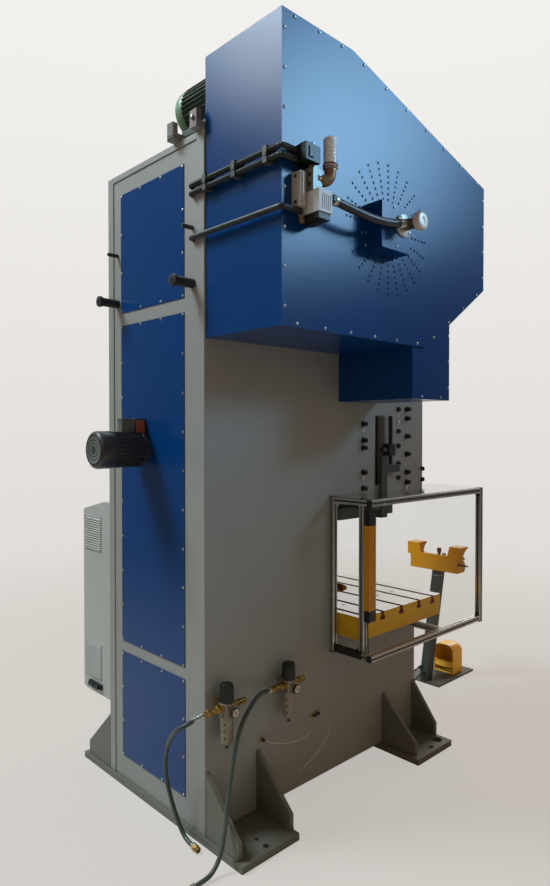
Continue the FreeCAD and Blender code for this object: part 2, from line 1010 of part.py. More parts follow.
def gibs():
    """Four guide bars screwed inside the side plates, before and behind the slide's wings."""
    bars = []
    for back, front in (
        (-rear_gib_back, -wing_rear + guide_gap),
        (-wing_front - guide_gap, -front_gib_front),
    ):
        gib = box(-plate_inner, -gib_inner, back, front, gib_bottom, gib_top)
        bars += [gib, mirror_x(gib)]
    return bars


def gib_bolts():
    """Rows of hexagon heads that clamp and set the gibs through the side plates."""
    heads = []
    for step, rises in gib_bolt_rows:
        for rise in rises:
            seat = V(-frame_half_width, -die_centre - step, throat_top + rise)
            head = facet_bar(seat, seat + V(-gib_bolt_head, 0, 0), gib_bolt_flats, 6)
            heads += [head, mirror_x(head)]
    return heads


def slide_bracket():
    """Bracket that rides with the slide, outside the left side plate."""
    inner = -frame_half_width - bracket_gap
    outer = inner - bracket_thickness
    foot_top = shut_face_height + bracket_foot_height
    foot_plate = box(
        outer, -flange_half_width, -bracket_back, -bracket_front, shut_face_height, foot_top
    )
    upright = box(outer, inner, -bracket_back, -bracket_front, foot_top, bracket_top)
    arm = box(outer, inner, -bracket_front, -arm_front, arm_bottom, arm_top)
    return fuse(foot_plate, upright, arm)


def stroke_scale():
    """Scale rod in its clamp block, with the clamp knob and a small sensor."""
    face = -frame_half_width
    block = box(face, face - clamp_reach, -clamp_back, -clamp_front, clamp_bottom, clamp_top)
    rod = facet_bar(
        V(-scale_rod_x, -scale_rod_y, scale_rod_bottom),
        V(-scale_rod_x, -scale_rod_y, scale_rod_top),
        scale_rod_radius,
    )
    knob_z = (clamp_bottom + clamp_top) / 2
    knob = facet_bar(
        V(-scale_rod_x, -clamp_back, knob_z), V(-scale_rod_x, -bracket_back, knob_z), clamp_knob_radius, 8
    )
    sensor = box(
        face,
        face - clamp_reach / 2,
        -clamp_front,
        -sensor_front,
        knob_z - sensor_drop,
        knob_z + sensor_rise,
    )
    return fuse(block, rod, knob, sensor)


keep("slide", slide())
keep("gibs", *gibs())
keep("gib_bolts", *gib_bolts())
keep("slide_bracket", slide_bracket())
keep("stroke_scale", stroke_scale())


# ---- Drive inside the head ----

def gear_outline(teeth, centre_y, centre_z, first_angle):
    """Closed outline of straight-flanked teeth, the first one centred on the given angle."""
    pitch_radius = gear_module * teeth / 2
    tip_radius = pitch_radius + gear_module
    root_radius = pitch_radius - 1.25 * gear_module
    half_pitch_width = tooth_thin * math.pi * gear_module / 4
    lean = math.tan(math.radians(tooth_flank_angle))
    points = []
    for tooth in range(teeth):
        middle = first_angle + 2 * math.pi * tooth / teeth
        for radius, side in ((root_radius, -1), (tip_radius, -1), (tip_radius, 1), (root_radius, 1)):
            half_width = half_pitch_width - (radius - pitch_radius) * lean
            angle = middle + side * half_width / radius
            points.append((centre_y + radius * math.cos(angle), centre_z + radius * math.sin(angle)))
    return points


mesh_angle = math.atan2(pinion_z - crank_z, crank_y - pinion_y)


def crankshaft():
    """Crankshaft at the top of its stroke, running between the side plates."""
    web_outline = (
        (-crank_y - web_half_width, crank_z - web_half_width + web_corner),
        (-crank_y - web_half_width + web_corner, crank_z - web_half_width),
        (-crank_y + web_half_width - web_corner, crank_z - web_half_width),
        (-crank_y + web_half_width, crank_z - web_half_width + web_corner),
        (-crank_y + web_half_width, crank_z + crank_throw + web_half_width - web_corner),
        (-crank_y + web_half_width - web_corner, crank_z + crank_throw + web_half_width),
        (-crank_y - web_half_width + web_corner, crank_z + crank_throw + web_half_width),
        (-crank_y - web_half_width, crank_z + crank_throw + web_half_width - web_corner),
    )
    web_outer = crank_pin_half + web_thickness
    pieces = []
    for side in (-1, 1):
        pieces.append(slab_x(web_outline, side * crank_pin_half, side * web_outer))
        pieces.append(
            facet_bar(
                V(side * web_outer, -crank_y, crank_z),
                V(side * frame_half_width, -crank_y, crank_z),
                journal_radius,
                shaft_sides,
            )
        )
    pin_z_high = crank_z + crank_throw
    pin = facet_bar(
        V(-crank_pin_half, -crank_y, pin_z_high),
        V(crank_pin_half, -crank_y, pin_z_high),
        crank_pin_radius,
        shaft_sides,
    )
    return fuse(pin, *pieces)


def con_rod():
    """Connecting rod: big end on the crank pin, shank, and the round end that works in the slide."""
    high = V(0, -crank_y, crank_z + crank_throw)
    half = V(big_end_half, 0, 0)
    big_end = facet_bar(high - half, high + half, big_end_radius, 16)
    shank = box(
        -rod_half_width,
        rod_half_width,
        -crank_y - rod_half_depth,
        -crank_y + rod_half_depth,
        small_end_z,
        high.z,
    )
    low = V(0, -crank_y, small_end_z)
    low_half = V(rod_half_width + 15, 0, 0)
    small_end = facet_bar(low - low_half, low + low_half, small_end_radius, bush_sides)
    bore = running_bore(high - half * 1.1, high + half * 1.1, crank_pin_radius, bush_sides)
    return fuse(big_end, shank, small_end).cut(bore)


def main_gear():
    """Large gear keyed on the crankshaft, with its hub."""
    outline = gear_outline(gear_teeth, -crank_y, crank_z, mesh_angle)
    outer_x = gear_inner_x + gear_face
    blank = slab_x(outline, gear_inner_x, outer_x)
    hub = facet_bar(
        V(outer_x, -crank_y, crank_z),
        V(outer_x + gear_hub_length, -crank_y, crank_z),
        gear_hub_radius,
        16,
    )
    bore = facet_bar(
        V(gear_inner_x - 1, -crank_y, crank_z),
        V(outer_x + gear_hub_length + 1, -crank_y, crank_z),
        journal_radius,
        shaft_sides,
    )
    return fuse(blank, hub).cut(bore)


def pinion_shaft():
    """Shaft with its pinion cut on it, running out through the cover to the rotary union."""
    tooth_pitch = 2 * math.pi / pinion_teeth
    outline = gear_outline(
        pinion_teeth, -pinion_y, pinion_z, mesh_angle + math.pi + tooth_pitch / 2
    )
    pinion = slab_x(outline, gear_inner_x - pinion_overlap, gear_inner_x + gear_face + pinion_overlap)
    shaft = facet_bar(
        V(frame_half_width, -pinion_y, pinion_z),
        V(-shaft_end_x, -pinion_y, pinion_z),
        pinion_shaft_radius,
        shaft_sides,
    )
    nose = facet_bar(
        V(-shaft_end_x, -pinion_y, pinion_z), V(-shaft_nose_end, -pinion_y, pinion_z), shaft_nose_radius
    )
    return fuse(pinion, shaft, nose)


def flywheel():
    """Heavy flywheel that runs free on the pinion shaft until the clutch takes it."""
    rim = facet_bar(
        V(-flywheel_inner_x, -pinion_y, pinion_z),
        V(-flywheel_outer_x, -pinion_y, pinion_z),
        flywheel_radius,
        wheel_sides,
    )
    hub = facet_bar(
        V(-flywheel_outer_x, -pinion_y, pinion_z),
        V(-flywheel_outer_x - flywheel_hub_stand, -pinion_y, pinion_z),
        flywheel_hub_radius,
        16,
    )
    bore = running_bore(
        V(-flywheel_inner_x + 1, -pinion_y, pinion_z),
        V(-flywheel_outer_x - flywheel_hub_stand - 1, -pinion_y, pinion_z),
        pinion_shaft_radius,
        bush_sides,
    )
    return fuse(rim, hub).cut(bore)


def clutch():
    """Clutch drum keyed on the shaft beside the flywheel."""
    inner = -flywheel_outer_x - flywheel_hub_stand - clutch_gap
    drum = facet_bar(
        V(inner, -pinion_y, pinion_z),
        V(inner - clutch_length * 0.7, -pinion_y, pinion_z),
        clutch_radius,
        24,
    )
    hub = facet_bar(
        V(inner - clutch_length * 0.7, -pinion_y, pinion_z),
        V(inner - clutch_length, -pinion_y, pinion_z),
        clutch_hub_radius,
        12,
    )
    bore = facet_bar(
        V(inner + 1, -pinion_y, pinion_z),
        V(inner - clutch_length - 1, -pinion_y, pinion_z),
        pinion_shaft_radius,
        shaft_sides,
    )
    return fuse(drum, hub).cut(bore)


def bearing_bushes():
    """Bronze bushes pressed into the side plates for the crankshaft and the pinion shaft."""
    rings = []
    for y, z, radius in (
        (-crank_y, crank_z, journal_radius),
        (-pinion_y, pinion_z, pinion_shaft_radius),
    ):
        outer = facet_bar(V(-frame_half_width, y, z), V(-plate_inner, y, z), radius + bush_wall, bush_sides)
        inner = running_bore(V(-frame_half_width - 1, y, z), V(-plate_inner + 1, y, z), radius, bush_sides)
        ring = outer.cut(inner)
        rings += [ring, mirror_x(ring)]
    return rings


keep("crankshaft", crankshaft())
keep("con_rod", con_rod())
keep("main_gear", main_gear())
keep("pinion_shaft", pinion_shaft())
keep("flywheel", flywheel())
keep("clutch", clutch())
keep("bearing_bushes", *bearing_bushes())


# ---- Drive motor on the head, and its belt ----

motor_base_z = motor_z - motor_radius


def drive_motor():
    """Finned motor body with its fan cowl, terminal box and feet, bored for its rotor."""
    body = finned_bar(
        V(-motor_cowl_end - motor_cowl_length, -motor_y, motor_z),
        V(-motor_body_end, -motor_y, motor_z),
        motor_radius,
        motor_fin_root,
        motor_fins,
    )
    cowl = facet_bar(
        V(-motor_cowl_end, -motor_y, motor_z),
        V(-motor_cowl_end - motor_cowl_length, -motor_y, motor_z),
        motor_cowl_radius,
        20,
    )
    middle = -(motor_cowl_end + motor_body_end + motor_cowl_length) / 2
    terminal_box = box(
        middle - motor_box_half,
        middle + motor_box_half,
        -motor_y - motor_fin_root * 0.7,
        -motor_y - motor_radius - motor_box_height,
        motor_z - motor_box_half,
        motor_z + motor_box_half,
    )
    feet = box(
        -rail_inner_x - motor_foot_inset,
        -rail_outer_x - rail_width + motor_foot_inset,
        -motor_y - motor_radius + motor_foot_inset,
        -motor_y + motor_radius - motor_foot_inset,
        motor_base_z - motor_foot_thickness,
        motor_base_z + motor_foot_rise,
    )
    shaft_bore = running_bore(
        V(-motor_body_end - 1, -motor_y, motor_z),
        V(-motor_cowl_end - motor_cowl_length, -motor_y, motor_z),
        motor_shaft_radius,
        16,
    )
    return fuse(body, cowl, terminal_box, feet).cut(shaft_bore)


def motor_pulley():
    """Rotor shaft and the belt pulley on its end."""
    shaft = facet_bar(
        V(-motor_cowl_end - motor_cowl_length - 2, -motor_y, motor_z),
        V(-pulley_outer_x, -motor_y, motor_z),
        motor_shaft_radius,
        12,
    )
    pulley = facet_bar(
        V(-pulley_inner_x, -motor_y, motor_z), V(-pulley_outer_x, -motor_y, motor_z), motor_pulley_radius, 24
    )
    return fuse(shaft, pulley)


def belt_loop(wheel_radius, pulley_radius):
    """Outline of a belt line round the flywheel and the motor pulley, in short straight steps."""
    run_y = pinion_y - motor_y
    run_z = motor_z - pinion_z
    distance = math.hypot(run_y, run_z)
    heading = math.atan2(run_z, run_y)
    wrap = math.acos((wheel_radius - pulley_radius) / distance)
    wheel_radius = wheel_radius / math.cos((math.pi - wrap) / belt_wheel_steps)
    pulley_radius = pulley_radius / math.cos(wrap / belt_pulley_steps)
    points = []
    for step in range(belt_wheel_steps + 1):
        angle = heading + wrap + (2 * math.pi - 2 * wrap) * step / belt_wheel_steps
        points.append(
            (-pinion_y + wheel_radius * math.cos(angle), pinion_z + wheel_radius * math.sin(angle))
        )
    for step in range(belt_pulley_steps + 1):
        angle = heading - wrap + 2 * wrap * step / belt_pulley_steps
        points.append(
            (-motor_y + pulley_radius * math.cos(angle), motor_z + pulley_radius * math.sin(angle))
        )
    return points


def drive_belt():
    """Flat-backed belt band round the flywheel and the motor pulley."""
    inner_wheel = flywheel_radius + seat_gap
    inner_pulley = motor_pulley_radius + seat_gap
    outer = slab_x(
        belt_loop(inner_wheel + belt_thickness, inner_pulley + belt_thickness),
        -pulley_inner_x - belt_edge,
        -pulley_outer_x + belt_edge,
    )
    inner = slab_x(belt_loop(inner_wheel, inner_pulley), -pulley_inner_x, -pulley_outer_x)
    return outer.cut(inner)


def motor_rails():
    """Slotted tension rails on the head, along the machine, each with its stop at the rear end."""
    rails = []
    for x in (-rail_inner_x, -rail_outer_x):
        outline = (
            (x, frame_height),
            (x, frame_height + rail_height),
            (x - 0.25 * rail_width, frame_height + rail_height),
            (x - 0.25 * rail_width, frame_height + 0.6 * rail_height),
            (x - 0.75 * rail_width, frame_height + 0.6 * rail_height),
            (x - 0.75 * rail_width, frame_height + rail_height),
            (x - rail_width, frame_height + rail_height),
            (x - rail_width, frame_height),
        )
        rail = slab_y(outline, rail_overhang, -rail_length)
        stop = box(
            x - rail_width,
            x,
            rail_overhang - rail_stop_thickness,
            rail_overhang,
            frame_height,
            frame_height + rail_stop_height,
        )
        rails.append(fuse(rail, stop))
    return rails


keep("drive_motor", drive_motor())
keep("motor_pulley", motor_pulley())
keep("drive_belt", drive_belt())
keep("motor_rails", *motor_rails())


# ---- Flywheel cover: folded sheet with a perforated side panel ----

cover_panel_inner = -cover_face_x + cover_sheet


def inset(outline, distance, x0, x1):
    """Slab inside an outline, drawn in by a distance."""
    face = flat_face([V(x0, y, z) for y, z in outline])
    return face.makeOffset2D(-distance).extrude(V(x1 - x0, 0, 0))


def drive_cover():
    """Folded wall of the flywheel cover, with the closing plate above the frame."""
    wall = slab_x(cover_outline, -frame_half_width, cover_panel_inner)
    wall = wall.cut(inset(cover_outline, cover_sheet, -frame_half_width, cover_panel_inner))
    closing = inset(cover_outline, cover_sheet, -frame_half_width, -frame_half_width - cover_sheet)
    above_frame = box(
        -frame_half_width, -frame_half_width - cover_sheet, 0, -head_reach, frame_height, cover_top
    )
    closing = closing.common(above_frame)
    motor_hole = facet_bar(
        V(-frame_half_width + 1, -motor_y, motor_z),
        V(-frame_half_width - cover_sheet - 1, -motor_y, motor_z),
        motor_radius + 8,
        20,
    )
    foot_hole = box(
        -frame_half_width + 1,
        -frame_half_width - cover_sheet - 1,
        -motor_y - motor_radius - 5,
        -motor_y + motor_radius + 5,
        frame_height,
        motor_z,
    )
    return fuse(wall, closing).cut([motor_hole, foot_hole])


def cover_side_panel():
    """Outer side panel with rings of vent holes round the shaft, which are square in this model."""
    panel = slab_x(cover_outline, cover_panel_inner, -cover_face_x)
    past_inner = cover_panel_inner + 1
    past_outer = -cover_face_x - 1
    holes = [
        facet_bar(V(past_inner, -pinion_y, pinion_z), V(past_outer, -pinion_y, pinion_z), nose_hole_radius)
    ]
    ring_pitch = (vent_outer_radius - vent_inner_radius) / (vent_rings - 1)
    for spoke in range(vent_spokes):
        angle = 2 * math.pi * spoke / vent_spokes
        for ring in range(vent_rings):
            radius = vent_inner_radius + ring * ring_pitch
            y = -pinion_y + radius * math.cos(angle)
            z = pinion_z + radius * math.sin(angle)
            holes.append(facet_bar(V(past_inner, y, z), V(past_outer, y, z), vent_half, 4))
    return panel.cut(Part.makeCompound(holes))


def lower_cover():
    """Folded box under the flywheel cover, against the side plate."""
    slope = (cover_outline[4][1] - cover_outline[5][1]) / (cover_outline[5][0] - cover_outline[4][0])
    front_top = cover_outline[5][1] + (lower_cover_front + cover_outline[5][0]) * slope
    outline = (
        (-lower_cover_back, lower_cover_bottom),
        (-lower_cover_front, lower_cover_bottom),
        (-lower_cover_front, front_top),
        cover_outline[5],
        (-lower_cover_back, cover_outline[5][1]),
    )
    shell = slab_x(outline, -frame_half_width, -lower_cover_face_x)
    hollow = inset(outline, cover_sheet, -frame_half_width, -lower_cover_face_x + cover_sheet)
    return shell.cut(hollow)


keep("drive_cover", drive_cover())
keep("cover_side_panel", cover_side_panel())
keep("lower_cover", lower_cover())


# ---- Rotary union on its bracket ----

bracket_outer = -cover_face_x - union_bracket_reach


def union_bracket():
    """Folded bracket: rear web, outer web with the union's hole, and bottom flange."""
    sheet = union_bracket_sheet
    rear = box(
        -cover_face_x,
        bracket_outer,
        -union_bracket_back,
        -union_bracket_back - sheet,
        union_bracket_bottom,
        union_bracket_top,
    )
    outer = box(
        bracket_outer,
        bracket_outer + sheet,
        -union_bracket_back,
        -union_bracket_front,
        union_bracket_bottom,
        union_bracket_top,
    )
    bottom = box(
        -cover_face_x,
        bracket_outer,
        -union_bracket_back,
        -union_bracket_front,
        union_bracket_bottom,
        union_bracket_bottom + sheet,
    )
    hole = facet_bar(
        V(bracket_outer - 1, -pinion_y, pinion_z),
        V(bracket_outer + sheet + 1, -pinion_y, pinion_z),
        union_bore_radius + 2,
    )
    return fuse(rear, outer, bottom).cut(hole)


def rotary_union():
    """Union body: flange, ring with the side inlet for the hose, and the end cap."""
    flange_end = bracket_outer - union_flange_thickness
    ring_end = flange_end - union_ring_length
    flange = facet_bar(
        V(bracket_outer, -pinion_y, pinion_z), V(flange_end, -pinion_y, pinion_z), union_flange_radius, 16
    )
    ring = facet_bar(
        V(flange_end, -pinion_y, pinion_z), V(ring_end, -pinion_y, pinion_z), union_ring_radius, 12
    )
    cap = facet_bar(
        V(ring_end, -pinion_y, pinion_z),
        V(ring_end - union_cap_length, -pinion_y, pinion_z),
        union_cap_radius,
        16,
    )
    inlet = ferrule(
        clutch_hose_route[-1], clutch_hose_route[-2], hose_fitting_length, clutch_hose_diameter / 2 + 2, 12
    )
    bore = facet_bar(
        V(bracket_outer + 1, -pinion_y, pinion_z),
        V(-shaft_nose_end - 3, -pinion_y, pinion_z),
        union_bore_radius,
    )
    return fuse(flange, ring, cap, inlet).cut(bore)


keep("union_bracket", union_bracket())
keep("rotary_union", rotary_union())


# ---- Clutch valve, silencer and the hose to the union ----

def valve_block():
    """Valve body with its side block, solenoid box, pressure switch and outlet elbow."""
    face = -cover_face_x
    side_block = box(
        face, face - valve_block_reach, -valve_back, -valve_block_front, valve_block_bottom, valve_block_top
    )
    body = box(
        face, face - valve_body_reach, -valve_block_front, -valve_body_front, valve_box_bottom, valve_body_top
    )
    solenoid = box(
        face, face - valve_box_reach, -valve_block_front, -valve_front, valve_box_bottom, valve_box_top
    )
    stem = box(
        face - valve_body_reach / 2 - switch_stem_half,
        face - valve_body_reach / 2 + switch_stem_half,
        -valve_body_front + 30,
        -valve_body_front + 12,
        valve_body_top,
        switch_bottom,
    )
    switch = box(face, face - switch_reach, -valve_back, -switch_front, switch_bottom, switch_top)
    elbow_corner = V(-silencer_x, -silencer_y, elbow_z)
    elbow = facet_bar(
        V(face - valve_body_reach + 20, -valve_body_front + 14, elbow_z), elbow_corner, elbow_radius, 10
    )
    riser = facet_bar(
        elbow_corner - V(0, 0, elbow_radius * 0.8),
        V(-silencer_x, -silencer_y, silencer_bottom),
        elbow_radius,
        10,
    )
    outlet = ferrule(
        clutch_hose_route[0], clutch_hose_route[1], valve_outlet_length, clutch_hose_diameter / 2 + 2, 10
    )
    return fuse(side_block, body, solenoid, stem, switch, elbow, riser, outlet)


def silencer():
    """Exhaust silencer: base ring, ribbed cylinder and cap."""
    base = facet_bar(
        V(-silencer_x, -silencer_y, silencer_bottom),
        V(-silencer_x, -silencer_y, silencer_bottom + 14),
        silencer_radius,
        12,
    )
    body = facet_bar(
        V(-silencer_x, -silencer_y, silencer_bottom + 14),
        V(-silencer_x, -silencer_y, silencer_top),
        silencer_radius - 3,
        12,
    )
    return fuse(base, body)


keep("valve_block", valve_block())
keep("silencer", silencer())
keep("clutch_hose", tube("clutch_hose", clutch_hose_route, clutch_hose_diameter, 6))


# ---- Duct and supply hose, clipped along the back and side of the cover ----

def held_tube(height, diameter, end_y):
    """Mitred line from the back plate along the cover's rear wall and round its corner."""
    corner_x = -cover_face_x - duct_corner_reach
    route = [
        V(-duct_start_x, back_plate_face, height),
        V(-duct_start_x, duct_centre_y, height),
        V(corner_x, duct_centre_y, height),
        V(corner_x, -end_y, height),
    ]
    ring = ring_points(route[0], route[1] - route[0], [diameter / 2] * 6)
    return Part.makePolygon(route).makePipeShell([Part.makePolygon(ring + [ring[0]])], True, False, 1)


def duct_rails():
    """Two black conduits with their clamps, and the supply hose below them."""
    upper = held_tube(duct_upper_z, duct_diameter, valve_back)
    lower = held_tube(duct_lower_z, duct_diameter, valve_back)
    clamps = []
    for x in duct_clamp_x:
        clamps.append(
            box(
                -x - duct_clamp_half,
                -x + duct_clamp_half,
                cover_outline[0][0],
                duct_centre_y + duct_diameter / 2 + 4,
                duct_lower_z - duct_clamp_half,
                duct_upper_z + duct_clamp_half,
            )
        )
    conduits = fuse(upper, lower, *clamps)
    supply = held_tube(supply_hose_z, supply_hose_diameter, valve_block_front)
    return conduits, supply


keep("duct_rails", *duct_rails())


# ---- Back: cover panels, lifting pins, lubrication pump motor ----

def rear_panels():
    """Three sheet panels over the openings of the column."""
    return [
        box(panel_left, panel_right, back_plate_face, back_plate_face + panel_thickness, low, high)
        for low, high in panel_heights
    ]


def lifting_pins():
    """Two lifting pins with end discs and two plain stubs above them."""
    solids = []
    for side in (-1, 1):
        root = V(side * pin_x, back_plate_face, pin_z)
        neck = V(side * pin_x, pin_end_y - pin_head_length, pin_z)
        end = V(side * pin_x, pin_end_y, pin_z)
        solids.append(fuse(facet_bar(root, neck, pin_radius), facet_bar(neck, end, pin_head_radius)))
        stub_root = V(side * pin_x, back_plate_face, stub_z)
        solids.append(facet_bar(stub_root, V(side * pin_x, stub_end_y, stub_z), stub_radius, 8))
    return solids


def pump_motor():
    """Motor of the lubrication pump: flange, finned body, cowl, terminal box and relay box."""
    face = back_plate_face + panel_thickness
    flange = facet_bar(V(pump_x, face, pump_z), V(pump_x, pump_flange_end, pump_z), pump_flange_radius, 12)
    body = finned_bar(
        V(pump_x, pump_flange_end, pump_z),
        V(pump_x, pump_body_end, pump_z),
        pump_radius,
        pump_fin_root,
        pump_fins,
    )
    cowl = facet_bar(
        V(pump_x, pump_body_end, pump_z), V(pump_x, pump_end_y, pump_z), pump_radius + 2, 20
    )
    terminal = box(
        pump_x - pump_box_half,
        pump_x + pump_box_half,
        pump_box_back,
        pump_box_end,
        pump_z + pump_fin_root * 0.8,
        pump_box_top,
    )
    relay = box(
        pump_x - pump_box_half,
        pump_x + pump_box_half,
        face,
        relay_box_end,
        pump_z + pump_flange_radius * 0.8,
        pump_box_top,
    )
    return fuse(flange, body, cowl, terminal, relay)


keep("rear_panels", *rear_panels())
keep("lifting_pins", *lifting_pins())
keep("pump_motor", pump_motor())


# ---- Air filter-regulators and the loose hoses at the left side plate ----

def regulator_body(y, route):
    """Cast body with its arm to the side plate, brass pipes, hose sleeve and pressure gauge."""
    body = box(
        -regulator_x - regulator_half,
        -regulator_x + regulator_half,
        y - regulator_half,
        y + regulator_half,
        regulator_body_bottom,
        regulator_body_top,
    )
    arm = box(
        -frame_half_width,
        -regulator_x + regulator_half,
        y - mount_arm_half,
        y + mount_arm_half,
        regulator_body_bottom + 8,
        regulator_body_top - 8,
    )
    height = (regulator_body_bottom + regulator_body_top) / 2 + pipe_lift
    pipe = facet_bar(
        V(-regulator_x, y - pipe_front_reach, height),
        V(-regulator_x, y + pipe_back_reach, height),
        pipe_radius,
        8,
    )
    nut = facet_bar(
        V(-regulator_x, y + regulator_half, height),
        V(-regulator_x, y + regulator_half + 26, height),
        pipe_nut_radius,
        6,
    )
    sleeve = ferrule(route[0], route[1], hose_sleeve_length, hose_sleeve_radius, 8)
    gauge_z = regulator_body_bottom + gauge_radius + 1
    gauge = facet_bar(
        V(-regulator_x - regulator_half, y - 12, gauge_z),
        V(-regulator_x - regulator_half - gauge_stand, y - 12, gauge_z),
        gauge_radius,
        16,
    )
    return fuse(body, arm, pipe, nut, sleeve, gauge)


def regulator_bowl(y):
    """Clear bowl with its drain cock."""
    rim = V(-regulator_x, y, regulator_body_bottom - seat_gap)
    shoulder = V(-regulator_x, y, bowl_bottom)
    bowl = facet_bar(rim, shoulder, bowl_radius, 12)
    drain = facet_bar(shoulder, V(-regulator_x, y, drain_bottom), drain_radius, 8)
    return fuse(bowl, drain)


def regulator_knob(y):
    """Knob that sets the pressure, turning on the body's top face."""
    foot_z = regulator_body_top + seat_gap
    lower = facet_bar(
        V(-regulator_x, y, foot_z), V(-regulator_x, y, foot_z + 14), regulator_knob_radius - 8, 12
    )
    grip = facet_bar(
        V(-regulator_x, y, foot_z + 14),
        V(-regulator_x, y, foot_z + regulator_knob_height),
        regulator_knob_radius,
        16,
    )
    return fuse(lower, grip)


def coupling(route):
    """Hose coupling on the end of a floor hose."""
    return ferrule(route[-1], route[-2], coupling_length, coupling_radius, 8)


keep("regulator_bowls", regulator_bowl(-regulator_rear_y), regulator_bowl(-regulator_front_y))
keep("regulator_knob_rear", regulator_knob(-regulator_rear_y))
keep("regulator_knob_front", regulator_knob(-regulator_front_y))
keep("floor_hose_rear", tube("floor_hose_rear", rear_floor_hose_route, floor_hose_diameter, 4))
keep("floor_hose_front", tube("floor_hose_front", front_floor_hose_route, floor_hose_diameter, 4))
keep("hose_couplings", coupling(rear_floor_hose_route), coupling(front_floor_hose_route))


def tube_fittings():
    """Push-in fittings of the thin tubes on the left side plate."""
    fittings = []
    for end, beside in (
        (drain_tube_route[0], drain_tube_route[1]),
        (drip_tube_route[0], drip_tube_route[1]),
        (drip_tube_route[-1], drip_tube_route[-2]),
    ):
        seat = V(-frame_half_width, end[1], end[2])
        nut = facet_bar(seat, seat - V(tube_fitting_length, 0, 0), tube_fitting_radius, 6)
        fittings.append(fuse(nut, ferrule(end, beside, tube_fitting_length, drain_tube_diameter, 6)))
    return fittings


keep(
    "regulator_bodies",
    regulator_body(-regulator_rear_y, rear_floor_hose_route),
    regulator_body(-regulator_front_y, front_floor_hose_route),
    *tube_fittings(),
)
keep(
    "drain_tubes",
    tube("drain_tube", drain_tube_route, drain_tube_diameter, 3),
    tube("drip_tube", drip_tube_route, drain_tube_diameter, 3),
)


# ---- Control cabinet on the right side plate ----

def cabinet():
    """Cabinet shell with its sloping roof, louvres on the rear wall and gland plate."""
    door_plane = cabinet_outer_x - door_thickness - seat_gap
    outline = (
        (frame_half_width, cabinet_bottom),
        (frame_half_width, cabinet_top),
        (cabinet_roof_break, cabinet_top),
        (door_plane, cabinet_eave),
        (door_plane, cabinet_bottom),
    )
    sheet = cabinet_sheet
    inner_outline = (
        (frame_half_width + sheet, cabinet_bottom + sheet),
        (frame_half_width + sheet, cabinet_top - sheet),
        (cabinet_roof_break - 1, cabinet_top - sheet),
        (door_plane - sheet, cabinet_eave - sheet),
        (door_plane - sheet, cabinet_bottom + sheet),
    )
    shell = slab_y(outline, -cabinet_back, -cabinet_front)
    shell = shell.cut(slab_y(inner_outline, -cabinet_back - sheet, -cabinet_front + sheet))
    mouth = box(
        door_plane - sheet - 1,
        door_plane + 1,
        -cabinet_back - cabinet_lip,
        -cabinet_front + cabinet_lip,
        cabinet_bottom + cabinet_lip,
        cabinet_eave - cabinet_lip,
    )
    ribs = []
    for low in louvre_bottoms:
        for index in range(louvre_count):
            z = low + index * louvre_pitch
            outline = (
                (-cabinet_back, z),
                (-cabinet_back + louvre_stand, z),
                (-cabinet_back, z + louvre_height),
            )
            ribs.append(slab_x(outline, louvre_inner, louvre_outer))
    glands = box(
        gland_plate_inner,
        gland_plate_outer,
        -cabinet_back,
        -cabinet_back + gland_plate_depth,
        cabinet_bottom + gland_plate_rise,
        cabinet_bottom + gland_plate_rise + gland_plate_height,
    )
    return fuse(shell.cut(mouth), glands, *ribs)


def cabinet_door():
    """Door tray with folded edges, hinged inside its front edge, with the isolator's plate."""
    inner = cabinet_outer_x - door_thickness
    low = cabinet_bottom + door_margin
    high = cabinet_eave - door_margin
    tray = box(
        inner, cabinet_outer_x, -cabinet_back - door_margin, -cabinet_front + door_margin, low, high
    )
    hollow = box(
        inner - 1,
        cabinet_outer_x - cabinet_sheet,
        -cabinet_back - door_margin - cabinet_sheet,
        -cabinet_front + door_margin + cabinet_sheet,
        low + cabinet_sheet,
        high - cabinet_sheet,
    )
    plate = facet_bar(
        V(cabinet_outer_x, isolator_y, isolator_z),
        V(cabinet_outer_x + isolator_plate, isolator_y, isolator_z),
        isolator_radius + 12,
        8,
    )
    return fuse(tray.cut(hollow), plate)


isolator_y = -(cabinet_back + cabinet_front) / 2


def isolator_knob():
    """Rotary handle of the main isolator on the door."""
    seat = cabinet_outer_x + isolator_plate
    disc = facet_bar(
        V(seat, isolator_y, isolator_z),
        V(seat + isolator_length * 0.3, isolator_y, isolator_z),
        isolator_radius,
        16,
    )
    grip = box(
        seat + isolator_length * 0.3,
        seat + isolator_length,
        isolator_y - isolator_radius * 0.25,
        isolator_y + isolator_radius * 0.25,
        isolator_z - isolator_radius * 0.85,
        isolator_z + isolator_radius * 0.85,
    )
    return fuse(disc, grip)


keep("cabinet", cabinet())
keep("cabinet_door", cabinet_door())
keep("isolator_knob", isolator_knob())


# ---- Guards at both sides of the die space ----

def guard_frame():
    """Left guard frame of square slotted profile, built from posts and rails."""
    outer = -guard_outer_x
    inner = outer + profile
    back = -guard_back
    front = -guard_front
    corner = outer + corner_post_inset
    corner_back = back - corner_post_lag
    plate_face = -frame_half_width
    low = guard_bottom
    high = guard_top
    members = [
        box(corner, corner + profile, corner_back, corner_back - profile, low, high),
        box(outer, inner, front, front + profile, low, high),
        box(plate_face - profile, plate_face, back, back - profile, low, high),
    ]
    for base in (low, high - profile):
        members.append(box(outer, inner, back, front + profile, base, base + profile))
        members.append(box(inner, plate_face - profile, back, back - profile, base, base + profile))
    members.append(
        box(inner, plate_face, -support_rail_y, -support_rail_y - profile, low, low + profile)
    )
    return fuse(*members)


